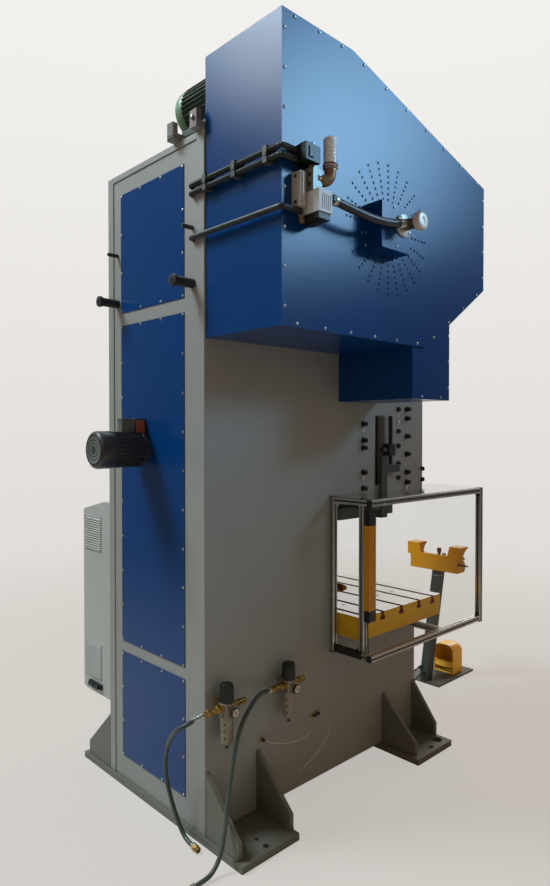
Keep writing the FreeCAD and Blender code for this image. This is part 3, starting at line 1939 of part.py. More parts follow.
def guard_sheets():
    """Clear sheets in the left guard frame: top, side and the rear sheet between the posts."""
    outer = -guard_outer_x
    slot_x = outer + profile / 2
    corner_back = -guard_back - corner_post_lag
    low = guard_bottom + profile
    high = guard_top - profile
    side = box(
        slot_x - sheet_thickness / 2,
        slot_x + sheet_thickness / 2,
        -guard_back,
        -guard_front + profile,
        low,
        high,
    )
    rear = box(
        outer + corner_post_inset + profile,
        -frame_half_width - profile,
        corner_back,
        corner_back - sheet_thickness,
        low,
        high,
    )
    top_inner = -frame_half_width - seat_gap
    sheet_top = guard_top + sheet_thickness
    beside = box(
        outer + sheet_inset,
        top_inner,
        -guard_back - sheet_inset,
        -guard_front + sheet_inset,
        guard_top,
        sheet_top,
    )
    wing = box(
        top_inner,
        -guard_wing_inner,
        -head_reach - seat_gap,
        -guard_front + sheet_inset,
        guard_top,
        sheet_top,
    )
    notch = box(
        -frame_half_width - bracket_gap - bracket_thickness - bracket_notch_margin,
        top_inner + 1,
        -bracket_back + bracket_notch_margin,
        -arm_front - bracket_notch_margin,
        guard_top - 1,
        sheet_top + 1,
    )
    return fuse(beside, wing).cut(notch), side, rear


def light_curtain():
    """Left light curtain, standing against the guard's corner post."""
    outer = -guard_outer_x + curtain_edge
    inner = -guard_outer_x + corner_post_inset - seat_gap
    back = -guard_back - corner_post_lag
    return [box(outer, inner, back, back - curtain_depth, curtain_bottom, curtain_top)]


keep("guard_frame_left", guard_frame())
keep("guard_frame_right", mirror_x(guard_frame()))
keep("guard_sheets", *guard_sheets(), *[mirror_x(sheet) for sheet in guard_sheets()])
keep("light_curtains", *light_curtain(), *[mirror_x(post) for post in light_curtain()])


# ---- Two-hand control stand in front of the press ----

def stand():
    """Base plate with the leaning column, its cap plate and the cable glands."""
    plate = box(stand_left, stand_right, -stand_back, -stand_front, 0, stand_thickness)
    foot_outline = (
        (-column_foot_y + column_half_depth, stand_thickness),
        (-column_top_y + column_half_depth, console_bottom),
        (-column_top_y - column_half_depth, console_bottom),
        (-column_foot_y - column_half_depth, stand_thickness),
    )
    column = slab_x(foot_outline, column_x - column_half_width, column_x + column_half_width)
    glands = [
        ferrule(route[0], route[1], cable_gland_length, cable_gland_radius, 6)
        for route in (lower_cable_route, upper_cable_route)
    ]
    return fuse(plate, column, *glands)


def shroud(outer, inner, lean):
    """Shroud round a palm button, open to the front between waisted cheeks under its roof."""
    deck = console_deck
    outline = (
        (-console_back, deck - shroud_skirt),
        (-console_back, shroud_top),
        (-shroud_lip, shroud_top),
        (-shroud_lip, shroud_top - shroud_lip_height),
        (-(shroud_lip + shroud_waist) / 2, (shroud_top + deck) / 2 + shroud_waist_rise),
        (-shroud_waist, deck + shroud_waist_rise),
        (-console_break, deck - console_fall),
        (-console_break - console_chamfer, deck - shroud_skirt),
    )
    side = shroud_wall if inner > outer else -shroud_wall
    hood_outline = (
        (outer, deck - shroud_skirt),
        (outer, shroud_top),
        (inner, shroud_top),
        (inner + lean, deck),
        (inner + lean, deck - shroud_skirt),
    )
    room_outline = (
        (outer + side, deck),
        (outer + side, shroud_top - shroud_wall),
        (inner - side, shroud_top - shroud_wall),
        (inner + lean - side, deck),
    )
    hood = slab_x(outline, outer, inner + lean)
    hood = hood.common(slab_y(hood_outline, -console_back, -console_front))
    return hood.cut(slab_y(room_outline, -console_back - shroud_wall, -console_front))


def console():
    """Console: sloping trough with a shroud round each palm button, and the cable gland."""
    bottom = console_bottom
    deck = console_deck
    outline = (
        (-console_back, bottom),
        (-console_back, deck),
        (-console_break, deck - console_fall),
        (-console_front, deck - console_nose_fall),
        (-console_front, bottom + console_chamfer),
        (-console_front + console_chamfer, bottom),
    )
    trough = slab_x(outline, console_left, console_right)
    shrouds = [
        shroud(console_left - shroud_overhang, shroud_left_inner, shroud_lean),
        shroud(console_right + shroud_overhang, shroud_right_inner, -shroud_lean),
    ]
    gland_z = bottom + console_gland_rise
    gland_y = -console_back - console_gland_inset
    gland = facet_bar(
        V(console_left, gland_y, gland_z),
        V(console_left - console_gland_length, gland_y, gland_z),
        console_gland_radius,
        8,
    )
    body = fuse(trough, gland, *shrouds)
    sockets = []
    for x, floor, radius, travel in (
        (palm_left_x, palm_floor, palm_stem_radius, palm_travel),
        (palm_right_x, palm_floor, palm_stem_radius, palm_travel),
        (stop_x, button_floor, stop_stem_radius, stop_travel),
        (reset_x, button_floor, reset_radius, reset_travel),
    ):
        sockets.append(
            facet_bar(
                V(x, button_y, floor - stem_depth - travel - 1),
                V(x, button_y, deck + 1),
                radius + seat_gap,
                stem_sides,
            )
        )
    return body.cut(sockets)


palm_left_x = (console_left - shroud_overhang + shroud_left_inner) / 2
palm_right_x = (console_right + shroud_overhang + shroud_right_inner) / 2
button_y = -console_break
button_floor = console_deck - console_fall
palm_floor = console_deck


def capped_button(x, floor, stem_radius, cap_radius, cap_height):
    """Round cap on a stem that slides in its socket."""
    cap_floor = floor + cap_lift
    stem = facet_bar(V(x, button_y, floor - stem_depth), V(x, button_y, cap_floor), stem_radius, stem_sides)
    cap = facet_bar(V(x, button_y, cap_floor), V(x, button_y, cap_floor + cap_height), cap_radius, 16)
    return fuse(stem, cap)


def reset_button():
    """Small round push button beside the stop button."""
    return facet_bar(
        V(reset_x, button_y, button_floor - stem_depth),
        V(reset_x, button_y, button_floor + reset_stand),
        reset_radius,
        stem_sides,
    )


def pedal_hood():
    """Hood over the pedal, open to the rear above its lip, standing on the base plate."""
    base = stand_thickness
    outline = (
        (hood_left, base),
        (hood_left, hood_top - hood_shoulder),
        (hood_left + hood_shoulder, hood_top),
        (hood_right - hood_shoulder, hood_top),
        (hood_right, hood_top - hood_shoulder),
        (hood_right, base),
    )
    shell = slab_y(outline, -hood_back, -hood_front)
    wall = hood_wall
    inner = (
        (hood_left + wall, base + wall),
        (hood_left + wall, hood_top - hood_shoulder - wall * 0.4),
        (hood_left + hood_shoulder + wall * 0.4, hood_top - wall),
        (hood_right - hood_shoulder - wall * 0.4, hood_top - wall),
        (hood_right - wall, hood_top - hood_shoulder - wall * 0.4),
        (hood_right - wall, base + wall),
    )
    room = slab_y(inner, -hood_back + 1, -hood_front + wall)
    low = base + hood_lip_low
    high = low + hood_lip_height
    lip_outline = (
        (-hood_back - wall, low),
        (-hood_back - wall, high),
        (-hood_back + hood_lip_reach - hood_lip_bevel, high),
        (-hood_back + hood_lip_reach, high - hood_lip_bevel),
        (-hood_back + hood_lip_reach, low + hood_lip_bevel),
        (-hood_back + hood_lip_reach - hood_lip_bevel, low),
    )
    lip = slab_x(lip_outline, hood_left, hood_right)
    return fuse(shell.cut(room), lip)


pedal_pivot_y = -hood_front + hood_wall + 20
pedal_pivot_z = stand_thickness + hood_wall + pedal_lift


def pedal():
    """Pedal plate on its pivot bar inside the hood."""
    left = hood_left + hood_wall + seat_gap
    right = hood_right - hood_wall - seat_gap
    pivot = facet_bar(
        V(left, pedal_pivot_y, pedal_pivot_z), V(right, pedal_pivot_y, pedal_pivot_z), pedal_pivot_radius, 8
    )
    tread_outline = (
        (pedal_pivot_y, pedal_pivot_z - pedal_pivot_radius * 0.6),
        (pedal_pivot_y, pedal_pivot_z + pedal_pivot_radius * 0.6),
        (-hood_back - hood_wall * 3, pedal_height + pedal_thickness),
        (-hood_back - hood_wall * 3, pedal_height),
    )
    tread = slab_x(tread_outline, left + 12, right - 12)
    return fuse(pivot, tread)


keep("stand", stand())
keep("console", console())
keep(
    "palm_button_left",
    capped_button(palm_left_x, palm_floor, palm_stem_radius, palm_radius, palm_cap_height),
)
keep(
    "palm_button_right",
    capped_button(palm_right_x, palm_floor, palm_stem_radius, palm_radius, palm_cap_height),
)
keep("stop_button", capped_button(stop_x, button_floor, stop_stem_radius, stop_radius, stop_cap_height))
keep("reset_button", reset_button())
keep("pedal_hood", pedal_hood())
keep("pedal", pedal())
keep(
    "stand_cables",
    tube("lower_cable", lower_cable_route, stand_cable_diameter, 3),
    tube("upper_cable", upper_cable_route, stand_cable_diameter, 3),
)


# ---- Write each named piece to its own file ----

os.makedirs("parts", exist_ok=True)
for name, solids in parts.items():
    shape = Part.makeCompound(solids)
    shape.translate(to_origin)
    valid = all(solid.isValid() and solid.Volume > 0 for solid in shape.Solids)
    if not valid or len(shape.Solids) != len(solids):
        print("CHECK", name, len(shape.Solids), "solids of", len(solids), "valid", valid)
    if len(solids) == 1:
        shape = shape.Solids[0]
    shape.exportStep("parts/%s.step" % name)
print(len(parts), "pieces, origin at", -to_origin)
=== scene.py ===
import json
import math

import bmesh
import bpy
import numpy as np
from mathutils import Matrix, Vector
from mathutils.geometry import tessellate_polygon


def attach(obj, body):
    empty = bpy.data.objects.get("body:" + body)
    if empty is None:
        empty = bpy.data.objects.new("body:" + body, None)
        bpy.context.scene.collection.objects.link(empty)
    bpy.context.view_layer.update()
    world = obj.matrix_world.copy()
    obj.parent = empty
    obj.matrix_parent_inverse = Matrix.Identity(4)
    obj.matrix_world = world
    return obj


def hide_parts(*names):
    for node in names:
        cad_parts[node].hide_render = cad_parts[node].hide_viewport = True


# A mechanical stamping press with a welded C-frame, its blue covers, air units, side guards, control
# cabinet and two-hand control stand. Metres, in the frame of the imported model.
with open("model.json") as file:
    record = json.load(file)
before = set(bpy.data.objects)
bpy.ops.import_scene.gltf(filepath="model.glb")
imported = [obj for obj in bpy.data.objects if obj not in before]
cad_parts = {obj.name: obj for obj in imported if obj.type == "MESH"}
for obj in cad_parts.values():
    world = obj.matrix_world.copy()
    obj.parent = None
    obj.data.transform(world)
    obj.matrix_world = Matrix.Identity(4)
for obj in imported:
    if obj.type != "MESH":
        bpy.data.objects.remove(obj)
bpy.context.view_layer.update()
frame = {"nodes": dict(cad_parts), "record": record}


# ---- Camera ----
# The photograph was taken from behind the left rear corner of the press, at a standing person's height,
# with a wide lens. The machine's own millimetres (X across, Y = 0 at the rear edge of the side plates)
# are turned into the model's metres by one shift.

SHIFT = (123.5, 1145.5, 0.0)


def at(x, y, z):
    """Point of the machine in model metres; whole arrays pass through unchanged in shape."""
    return np.stack(np.broadcast_arrays((x + SHIFT[0]) / 1000, (y + SHIFT[1]) / 1000, z / 1000), axis=-1)


def direction(x, y, z):
    """Unit vector along (x, y, z)."""
    vector = np.array([x, y, z], float)
    return vector / np.linalg.norm(vector)


def placed(obj):
    """The object, linked into the scene."""
    bpy.context.scene.collection.objects.link(obj)
    return obj


camera_heading = (0.72355, -0.69007, -0.01680)
camera_data = bpy.data.cameras.new("camera")
camera_data.sensor_width = 36.0
camera_data.lens = 26.362
camera = placed(bpy.data.objects.new("camera", camera_data))
camera.location = (-2.3389, 2.7396, 1.6764)
camera.rotation_euler = Vector(camera_heading).to_track_quat("-Z", "Y").to_euler()
bpy.context.scene.camera = camera


# ---- Free hoses and cables ----
# Two green rubber air hoses come off the regulators and run over the floor, a black rubber hose joins the
# clutch valve to the rotary union, clear plastic tubes drain the left side, and two black cables join
# the control stand to the bed.

def strand(name, node, route, diameter, material):
    """Round cord on a smooth spline through the neighbourhood of its route's points."""
    curve = bpy.data.curves.new(name, "CURVE")
    curve.dimensions = "3D"
    curve.bevel_depth = diameter / 2
    curve.bevel_resolution = 5
    curve.use_fill_caps = True
    spline = curve.splines.new("NURBS")
    spline.points.add(len(route) - 1)
    places = at(*np.array(route).T)
    spline.points.foreach_set("co", np.column_stack([places, np.ones(len(route))]).ravel())
    spline.order_u = 3
    spline.use_endpoint_u = True
    spline.resolution_u = 12
    curve.materials.append(material)
    cord = placed(bpy.data.objects.new(name, curve))
    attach(cord, "root")
    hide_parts(node)
    bare = curve.copy()
    bare.bevel_depth = 0
    probe = bpy.data.objects.new("probe", bare)
    path = np.array([v.co for v in bpy.data.meshes.new_from_object(probe).vertices])
    bpy.data.objects.remove(probe)


def fed(node, inputs):
    """The node, with its named or numbered inputs linked to sockets or set to numbers and colours."""
    for slot, value in inputs.items():
        socket = node.inputs[slot]
        if isinstance(value, bpy.types.NodeSocket):
            node.id_data.links.new(value, socket)
        else:
            socket.default_value = (*value, 1) if socket.type == "RGBA" else value
    return node


def added(tree, kind, inputs, operation=None):
    """New shader node with its inputs fed."""
    node = tree.nodes.new("ShaderNode" + kind)
    if operation:
        node.operation = operation
    return fed(node, inputs)


def calculated(tree, operation, *values):
    """Result of one Math node on sockets or numbers."""
    return added(tree, "Math", dict(enumerate(values)), operation).outputs[0]


def object_place(tree):
    """The object's own coordinates."""
    return added(tree, "TexCoord", {}).outputs["Object"]


def noise(tree, place, scale, detail, roughness):
    """Noise over a place, 0 to 1."""
    inputs = {"Vector": place, "Scale": scale, "Detail": detail, "Roughness": roughness}
    return added(tree, "TexNoise", inputs).outputs["Fac"]


def mapped(tree, value, low, high, to_low, to_high):
    """Value spread from one range to another and held inside it."""
    inputs = {"Value": value, "From Min": low, "From Max": high, "To Min": to_low, "To Max": to_high}
    return added(tree, "MapRange", inputs).outputs["Result"]


def mixed(tree, factor, first, second):
    """Colour between two, each a socket or a plain colour, by a factor."""
    node = tree.nodes.new("ShaderNodeMix")
    node.data_type = "RGBA"
    return fed(node, {0: factor, 6: first, 7: second}).outputs[2]


def plain_material(name, colour, roughness, metallic=0.0):
    """Material with its colour, roughness and metal set on the shader's own sockets."""
    material = bpy.data.materials.new(name)
    material.use_nodes = True
    shader = material.node_tree.nodes["Principled BSDF"]
    fed(shader, {"Base Color": colour, "Roughness": roughness, "Metallic": metallic})
    return material


def effect_group(name, inputs, outputs):
    """Node group with named sockets, and its inner input and output nodes."""
    tree = bpy.data.node_groups.new(name, "ShaderNodeTree")
    for label, value in inputs.items():
        kind = "Float" if isinstance(value, float) else "Color"
        socket = tree.interface.new_socket(label, in_out="INPUT", socket_type="NodeSocket" + kind)
        socket.default_value = value
    for label, kind in outputs.items():
        tree.interface.new_socket(label, in_out="OUTPUT", socket_type="NodeSocket" + kind)
    return tree, tree.nodes.new("NodeGroupInput"), tree.nodes.new("NodeGroupOutput")


# Dust and rubbed places: a slow noise lightens and dulls the colour, a finer one breaks it up, and the
# dust is thicker towards the floor.
dust_tree, dust_in, dust_out = effect_group(
    "settled_dust",
    {
        "Colour": (0.5, 0.5, 0.5, 1), "Dust": (0.35, 0.33, 0.29, 1), "Amount": 0.2, "Roughness": 0.4,
        "Variation": 0.1,
    },
    {"Colour": "Color", "Roughness": "Float"},
)
dust_place = object_place(dust_tree)
dust_slow = noise(dust_tree, dust_place, 2.3, 5.0, 0.6)
dust_fine = noise(dust_tree, dust_place, 38.0, 4.0, 0.7)
dust_height = added(dust_tree, "SeparateXYZ", {0: dust_place}).outputs["Z"]
dust_factor = mapped(dust_tree, dust_height, 0.0, 0.7, 1.0, 0.35)
for share in (
    mapped(dust_tree, dust_slow, 0.35, 0.75, 0.0, 1.0),
    mapped(dust_tree, dust_fine, 0.3, 0.7, 0.4, 1.0),
    dust_in.outputs["Amount"],
):
    dust_factor = calculated(dust_tree, "MULTIPLY", dust_factor, share)
dust_tone = mapped(dust_tree, dust_slow, 0.25, 0.75, -1.0, 1.0)
dust_shift = calculated(dust_tree, "MULTIPLY_ADD", dust_tone, dust_in.outputs["Variation"], 1.0)
dust_toned = added(dust_tree, "VectorMath", {0: dust_in.outputs["Colour"], "Scale": dust_shift}, "SCALE")
fed(dust_out, {
    "Colour": mixed(dust_tree, dust_factor, dust_toned.outputs[0], dust_in.outputs["Dust"]),
    "Roughness": calculated(dust_tree, "MULTIPLY_ADD", dust_factor, 0.5, dust_in.outputs["Roughness"]),
})

# Surface relief: small round dimples as in sprayed or hammered paint, or in a moulded or cast skin, over
# slow waves as in flat sheet.
relief_tree, relief_in, relief_out = effect_group(
    "skin_relief", {"Grain": 200.0, "Depth": 0.3, "Waves": 0.0}, {"Height": "Float"}
)
relief_place = object_place(relief_tree)
relief_cells = relief_tree.nodes.new("ShaderNodeTexVoronoi")
relief_cells.feature = "SMOOTH_F1"
fed(relief_cells, {"Vector": relief_place, "Scale": relief_in.outputs["Grain"]})
relief_dimples = calculated(
    relief_tree, "MULTIPLY", relief_cells.outputs["Distance"], relief_in.outputs["Depth"]
)
relief_wave = noise(relief_tree, relief_place, 1.7, 1.0, 0.4)
fed(relief_out, {
    "Height": calculated(
        relief_tree, "MULTIPLY_ADD", relief_wave, relief_in.outputs["Waves"], relief_dimples
    )
})


def finish(
    name, colour, roughness, metallic=0.0, dust=0.2, variation=0.1, grain=200.0, depth=0.3, waves=0.0,
    relief=0.001, coat=0.0, dust_colour=(0.35, 0.33, 0.29), shine=0.5,
):
    """Finish of one surface: colour with settled dust, and a fine relief in its skin."""
    material = plain_material(name, colour, roughness, metallic)
    tree = material.node_tree
    layer, skin = tree.nodes.new("ShaderNodeGroup"), tree.nodes.new("ShaderNodeGroup")
    layer.node_tree, skin.node_tree = dust_tree, relief_tree
    fed(layer, {
        "Colour": colour, "Dust": dust_colour, "Amount": dust, "Roughness": roughness,
        "Variation": variation,
    })
    fed(skin, {"Grain": grain, "Depth": depth, "Waves": waves})
    bump = added(tree, "Bump", {"Distance": relief, "Height": skin.outputs["Height"]})
    fed(tree.nodes["Principled BSDF"], {
        "Coat Weight": coat, "Coat Roughness": 0.12, "Specular IOR Level": shine,
        "Base Color": layer.outputs["Colour"], "Roughness": layer.outputs["Roughness"],
        "Normal": bump.outputs["Normal"],
    })
    return material


hose_green = finish("hose_green", (0.042, 0.062, 0.055), 0.38, dust=0.2, grain=900, depth=0.2)
hose_black = finish("hose_black", (0.022, 0.024, 0.026), 0.34, dust=0.3, grain=900, depth=0.2)
cable_black = finish("cable_black", (0.016, 0.017, 0.018), 0.42, dust=0.4, grain=900, depth=0.2)
tube_clear = finish("tube_clear", (0.62, 0.60, 0.52), 0.22, dust=0.2, grain=600, depth=0.1, coat=0.4)
fed(tube_clear.node_tree.nodes["Principled BSDF"], {"Transmission Weight": 0.35})

clutch_route = (
    (-905, -190, 2512), (-908, -290, 2502), (-912, -395, 2494), (-916, -500, 2499), (-917, -585, 2514),
)
rear_route = (
    (-431, 94, 552), (-429, 130, 546), (-388, 150, 518), (-325, 130, 460), (-268, 106, 400),
    (-232, 92, 330), (-222, 82, 245), (-238, 70, 165), (-262, 58, 90), (-292, 50, 34), (-330, 50, 14),
    (-368, 52, 14),
)
front_route = (
    (-431, -302, 561), (-440, -262, 568), (-464, -215, 574), (-478, -160, 550), (-481, -104, 488),
    (-483, -72, 400), (-494, -40, 305), (-520, 0, 215), (-543, 32, 125), (-556, 66, 55), (-560, 110, 18),
    (-562, 150, 14), (-563, 190, 14),
)
drain_route = (
    (-398, -666, 342), (-428, -690, 330), (-450, -688, 290), (-452, -650, 236), (-440, -580, 176),
    (-420, -500, 132),
)
drip_route = (
    (-398, -640, 338), (-436, -600, 318), (-448, -520, 296), (-444, -430, 296), (-424, -350, 312),
    (-398, -311, 330),
)
lower_route = (
    (-15, -2101, 60), (-18, -2040, 54), (-26, -1950, 16), (-40, -1820, 8), (-38, -1700, 12),
    (-16, -1590, 50), (-2, -1500, 104),
)
upper_route = (
    (10, -2101, 92), (12, -2040, 86), (26, -1940, 42), (46, -1820, 22), (52, -1700, 36), (42, -1590, 92),
    (32, -1500, 144),
)
strand("clutch_hose_rubber", "clutch_hose", clutch_route, 0.032, hose_black)
for side, route in (("rear", rear_route), ("front", front_route)):
    node = "floor_hose_" + side
    strand(node + "_rubber", node, route, 0.018, hose_green)
strand("drain_tube_plastic", "drain_tubes", drain_route, 0.006, tube_clear)
strand("drip_tube_plastic", "drain_tubes", drip_route, 0.006, tube_clear)
for side, route in (("lower", lower_route), ("upper", upper_route)):
    strand(
        "stand_cable_" + side, "stand_cables", route, 0.010, cable_black
    )


# ---- Welded frame ----
# Two thick C-shaped side plates with back, top, head, throat and bed plates welded between them, flame
# cut, ground and sprayed light grey. Base plates and gussets are welded on below.

def grid_skin(points, capped=True):
    """Faces over a grid whose columns run round a closed outline; its two ends are capped or open."""
    rows, columns = points.shape[:2]
    index = np.arange(rows * columns).reshape(rows, columns)
    after = np.roll(index, -1, axis=1)
    faces = np.stack([index[:-1], after[:-1], after[1:], index[1:]], axis=-1).reshape(-1, 4).tolist()
    if capped:
        faces += [index[0, ::-1].tolist(), index[-1].tolist()]
    return points.reshape(-1, 3), faces


def carried(outline, path, up=(0, 0, 1), sizes=1.0):
    """Outline of (across, upward) points carried square to a path, scaled by a size at each station."""
    outline, path = np.asarray(outline, float), np.asarray(path, float)
    heading = np.gradient(path, axis=0)
    heading /= np.linalg.norm(heading, axis=1, keepdims=True)
    across = np.cross(heading, np.asarray(up, float))
    across /= np.linalg.norm(across, axis=1, keepdims=True)
    upward = np.cross(across, heading)
    sizes = np.broadcast_to(sizes, len(path))[:, None, None]
    spread = outline[None, :, :1] * across[:, None, :] + outline[None, :, 1:] * upward[:, None, :]
    return grid_skin(path[:, None, :] + sizes * spread)


def turned(stations, start, axis, sides):
    """Body of revolution: (distance, radius) stations along an axis from a start point."""
    stations, axis = np.asarray(stations, float), direction(*axis)
    side = direction(*np.cross(axis, (0.0, 0.0, 1.0) if abs(axis[2]) < 0.9 else (0.0, 1.0, 0.0)))
    other = np.cross(axis, side)
    angle = (np.arange(sides) + 0.5) * 2 * np.pi / sides
    ring = np.cos(angle)[:, None] * side + np.sin(angle)[:, None] * other
    centres = np.asarray(start, float) + stations[:, :1] * axis
    return grid_skin(centres[:, None, :] + stations[:, 1][:, None, None] * ring[None])


def prism(outline, low, high, along="x"):
    """Plate between two planes square to an axis; its outline holds the other two coordinates in order."""
    outline = np.asarray(outline, float)
    slot = "xyz".index(along)
    rows = [np.insert(outline, slot, level, axis=1) for level in (low, high)]
    return grid_skin(np.stack(rows))


def block(x0, x1, y0, y1, z0, z1):
    """Rectangular block between two corners."""
    return prism([(x0, y0), (x1, y0), (x1, y1), (x0, y1)], z0, z1, "z")


def repeated(skin, places):
    """The same skin set down at each of several places."""
    points, faces = skin
    places = np.asarray(places, float).reshape(-1, 3)
    moved = (places[:, None, :] + points[None]).reshape(-1, 3)
    steps = np.arange(len(places)) * len(points)
    return moved, [[corner + step for corner in face] for step in steps for face in faces]


body_of = {
    node: body for body, nodes in frame["record"]["behaviour"]["bodies"].items() for node in nodes
}


def rounded_edges(obj, width, segments=2):
    """Small bevel on every corner sharper than 32 degrees, width in millimetres."""
    bevel = obj.modifiers.new("rounded_edges", "BEVEL")
    bevel.width = width / 1000
    bevel.segments = segments
    bevel.limit_method = "ANGLE"
    bevel.angle_limit = math.radians(32.0)
    bevel.harden_normals = True


def outward(mesh, merge=0.0):
    """Joins doubled points where asked, smooths the shading and turns every face outwards."""
    work = bmesh.new()
    work.from_mesh(mesh)
    if merge:
        bmesh.ops.remove_doubles(work, verts=work.verts, dist=merge)
        bmesh.ops.dissolve_limit(
            work, angle_limit=math.radians(0.5), verts=work.verts, edges=work.edges
        )
    bmesh.ops.recalc_face_normals(work, faces=work.faces)
    work.to_mesh(mesh)
    work.free()
    mesh.shade_smooth()
    mesh.set_sharp_from_angle(angle=math.radians(34))


def piece(name, skins, material, body="root", bevel=0.0, node=None, merge=0.0):
    """Object of one or more skins in machine millimetres, each with its own finish if several are given."""
    finishes = material if isinstance(material, list) else [material]
    starts = np.cumsum([0] + [len(points) for points, _ in skins])
    faces = [
        [corner + start for corner in face]
        for start, (_, skin_faces) in zip(starts.tolist(), skins) for face in skin_faces
    ]
    numbers = [min(number, len(finishes) - 1) for number in range(len(skins))]
    mesh = bpy.data.meshes.new(name)
    mesh.from_pydata(at(*np.vstack([points for points, _ in skins]).T).tolist(), [], faces)
    for surface in finishes:
        mesh.materials.append(surface)
    mesh.polygons.foreach_set("material_index", np.repeat(numbers, [len(skin) for _, skin in skins]))
    outward(mesh, merge)
    obj = placed(bpy.data.objects.new(name, mesh))
    if bevel:
        rounded_edges(obj, bevel)
    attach(obj, body)
    if node:
        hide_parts(node)


def softened(node, material, bevel=1.5, segments=2, choose=None):
    """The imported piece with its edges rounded, its finishes chosen by each face's centre and normal."""
    mesh = frame["nodes"][node].data.copy()
    mesh.name = node + "_finished"
    mesh.materials.clear()
    for surface in material if isinstance(material, list) else [material]:
        mesh.materials.append(surface)
    outward(mesh, 0.00002)
    if choose:
        centres, normals = np.zeros((2, len(mesh.polygons) * 3))
        mesh.polygons.foreach_get("center", centres)
        mesh.polygons.foreach_get("normal", normals)
        chosen = choose(centres.reshape(-1, 3) * 1000 - SHIFT, normals.reshape(-1, 3))
        mesh.polygons.foreach_set("material_index", chosen.astype(int))
    obj = placed(bpy.data.objects.new(node + "_finished", mesh))
    rounded_edges(obj, bevel, segments)
    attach(obj, body_of[node])
    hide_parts(node)


frame_grey = finish(
    "frame_grey", (0.265, 0.278, 0.272), 0.46, dust=0.35, variation=0.07, grain=420, depth=0.35,
    waves=1.2, relief=0.0007, dust_colour=(0.25, 0.225, 0.19),
)
for node in ("side_plate_left", "side_plate_right"):
    softened(node, frame_grey, 4.0)
for node in ("back_plate", "cross_plates", "bed_plate"):
    softened(node, frame_grey, 2.5)


# ---- Feet ----
# Base plates right across the machine, with triangular gussets welded to the side plates and holes for
# the floor anchors, the levelling screws and the lashing shackles.

def weld_bead(path, up, leg=8.0):
    """Fillet weld: a rounded triangle carried along a seam, swelling a little at every ripple."""
    start, end = np.asarray(path, float)
    length = np.linalg.norm(end - start)
    share = np.linspace(0, 1, int(length / 3.2) + 2)[:, None]
    ripple = 1 + 0.09 * np.sin(share[:, 0] * length * 2 * np.pi / 7.5)
    section = np.array([(-0.1, -0.1), (1.0, -0.1), (0.86, 0.32), (0.62, 0.62), (0.32, 0.86), (-0.1, 1.0)])
    return carried(leg * section, start + share * (end - start), up, ripple)


# The feet and the welds on them get a darker copy of the frame's grey and dust colour: painted shade for the
# machine's shadow over them.
foot_grey_painted_shade = finish(
    "foot_grey_painted_shade", (0.135, 0.140, 0.120), 0.5, dust=0.35, variation=0.10, grain=420, depth=0.35,
    waves=1.2, relief=0.0007, dust_colour=(0.16, 0.145, 0.11),
)
for node in ("rear_foot", "front_foot"):
    softened(node, foot_grey_painted_shade, 3.0)
plate_face, foot_top, gusset_reach = 380.0, 30.0, 208
beads = []
for side in (-1, 1):
    edge = side * plate_face
    for face_y, reach, turn in (
        (0.0, gusset_reach, 1), (-20.0, gusset_reach, -1), (-280.0, gusset_reach, 1),
        (-300.0, gusset_reach, -1), (-1176.0, gusset_reach, 1), (-1196.0, gusset_reach, -1),
        (-1446.0, 150, 1),
    ):
        upright = [(edge, face_y, foot_top + 2), (edge, face_y, 290.0)]
        flat = [(edge + side * 4, face_y, foot_top), (edge + side * reach, face_y, foot_top)]
        (upright if side * turn > 0 else flat).reverse()
        beads += [weld_bead(upright, (side, 0, 0)), weld_bead(flat, (0, 0, 1))]
piece("foot_welds", beads, foot_grey_painted_shade)


# ---- Back panels ----
# Three flat steel sheets painted hammered blue, held over the column's openings by pan-head screws.

cover_blue = finish(
    "cover_blue", (0.0008, 0.040, 0.170), 0.26, dust=0.03, variation=0.06, grain=330, depth=0.35,
    waves=0.5, relief=0.0003, dust_colour=(0.02, 0.05, 0.10), shine=0.32,
)
screw_steel = finish("screw_steel", (0.62, 0.62, 0.60), 0.3, metallic=1.0, dust=0.2, grain=900, depth=0.1)
softened("rear_panels", cover_blue, 1.0)


def pan_heads(name, places, axis, radius=6.5, height=4.2, material=screw_steel, body="root"):
    """Pan heads with a round driving recess, turned once and set down at every place."""
    profile = [
        (-0.5, radius), (height * 0.35, radius), (height * 0.75, radius * 0.86), (height, radius * 0.55),
        (height, radius * 0.3), (height * 0.45, radius * 0.24),
    ]
    return piece(name, [repeated(turned(profile, (0, 0, 0), axis, 12), places)], material, body)


def round_rectangle(x0, x1, z0, z1, across, down):
    """Places evenly spaced round a rectangle, with a count along its width and one along its height."""
    xs, zs = np.linspace(x0, x1, across), np.linspace(z0, z1, down)
    rows = [(x, z) for x in xs for z in (z0, z1)] + [(x, z) for z in zs[1:-1] for x in (x0, x1)]
    return np.array(rows)


panel_screws = []
for low, high, down in ((2235.0, 2789.0, 4), (686.0, 2176.0, 10), (137.0, 636.0, 4)):
    ring = round_rectangle(-231.0, 256.0, low + 9, high - 9, 4, down)
    panel_screws.append(np.insert(ring, 1, -2.0, axis=1))
pan_heads("panel_screws", np.vstack(panel_screws), (0, 1, 0), 5.5, 3.6)


# ---- Lifting pins and stubs ----
# Black turned pins with a collar on the end, and plain stub rods above them, welded into the back plate.

pin_black = finish("pin_black", (0.018, 0.018, 0.020), 0.36, dust=0.3, grain=600, depth=0.2)
pin_profile = [(0, 20), (96, 20), (97, 24), (99, 25), (110, 25), (112, 24), (113, 21), (113, 6), (110, 5)]
stub_profile = [(0, 9), (60, 9), (62, 8.4), (63, 7)]
pins = [
    turned(profile, (x, -15, z), (0, 1, 0), sides)
    for x in (-297, 297) for profile, z, sides in ((pin_profile, 2285, 32), (stub_profile, 2512, 24))
]
piece("pins_and_stubs", pins, pin_black, node="lifting_pins")


# ---- Lubrication pump motor ----
# A black flange-mounted motor with cast cooling fins, a pressed cowl with a slotted end, a terminal box
# and a relay box between it and the panel.

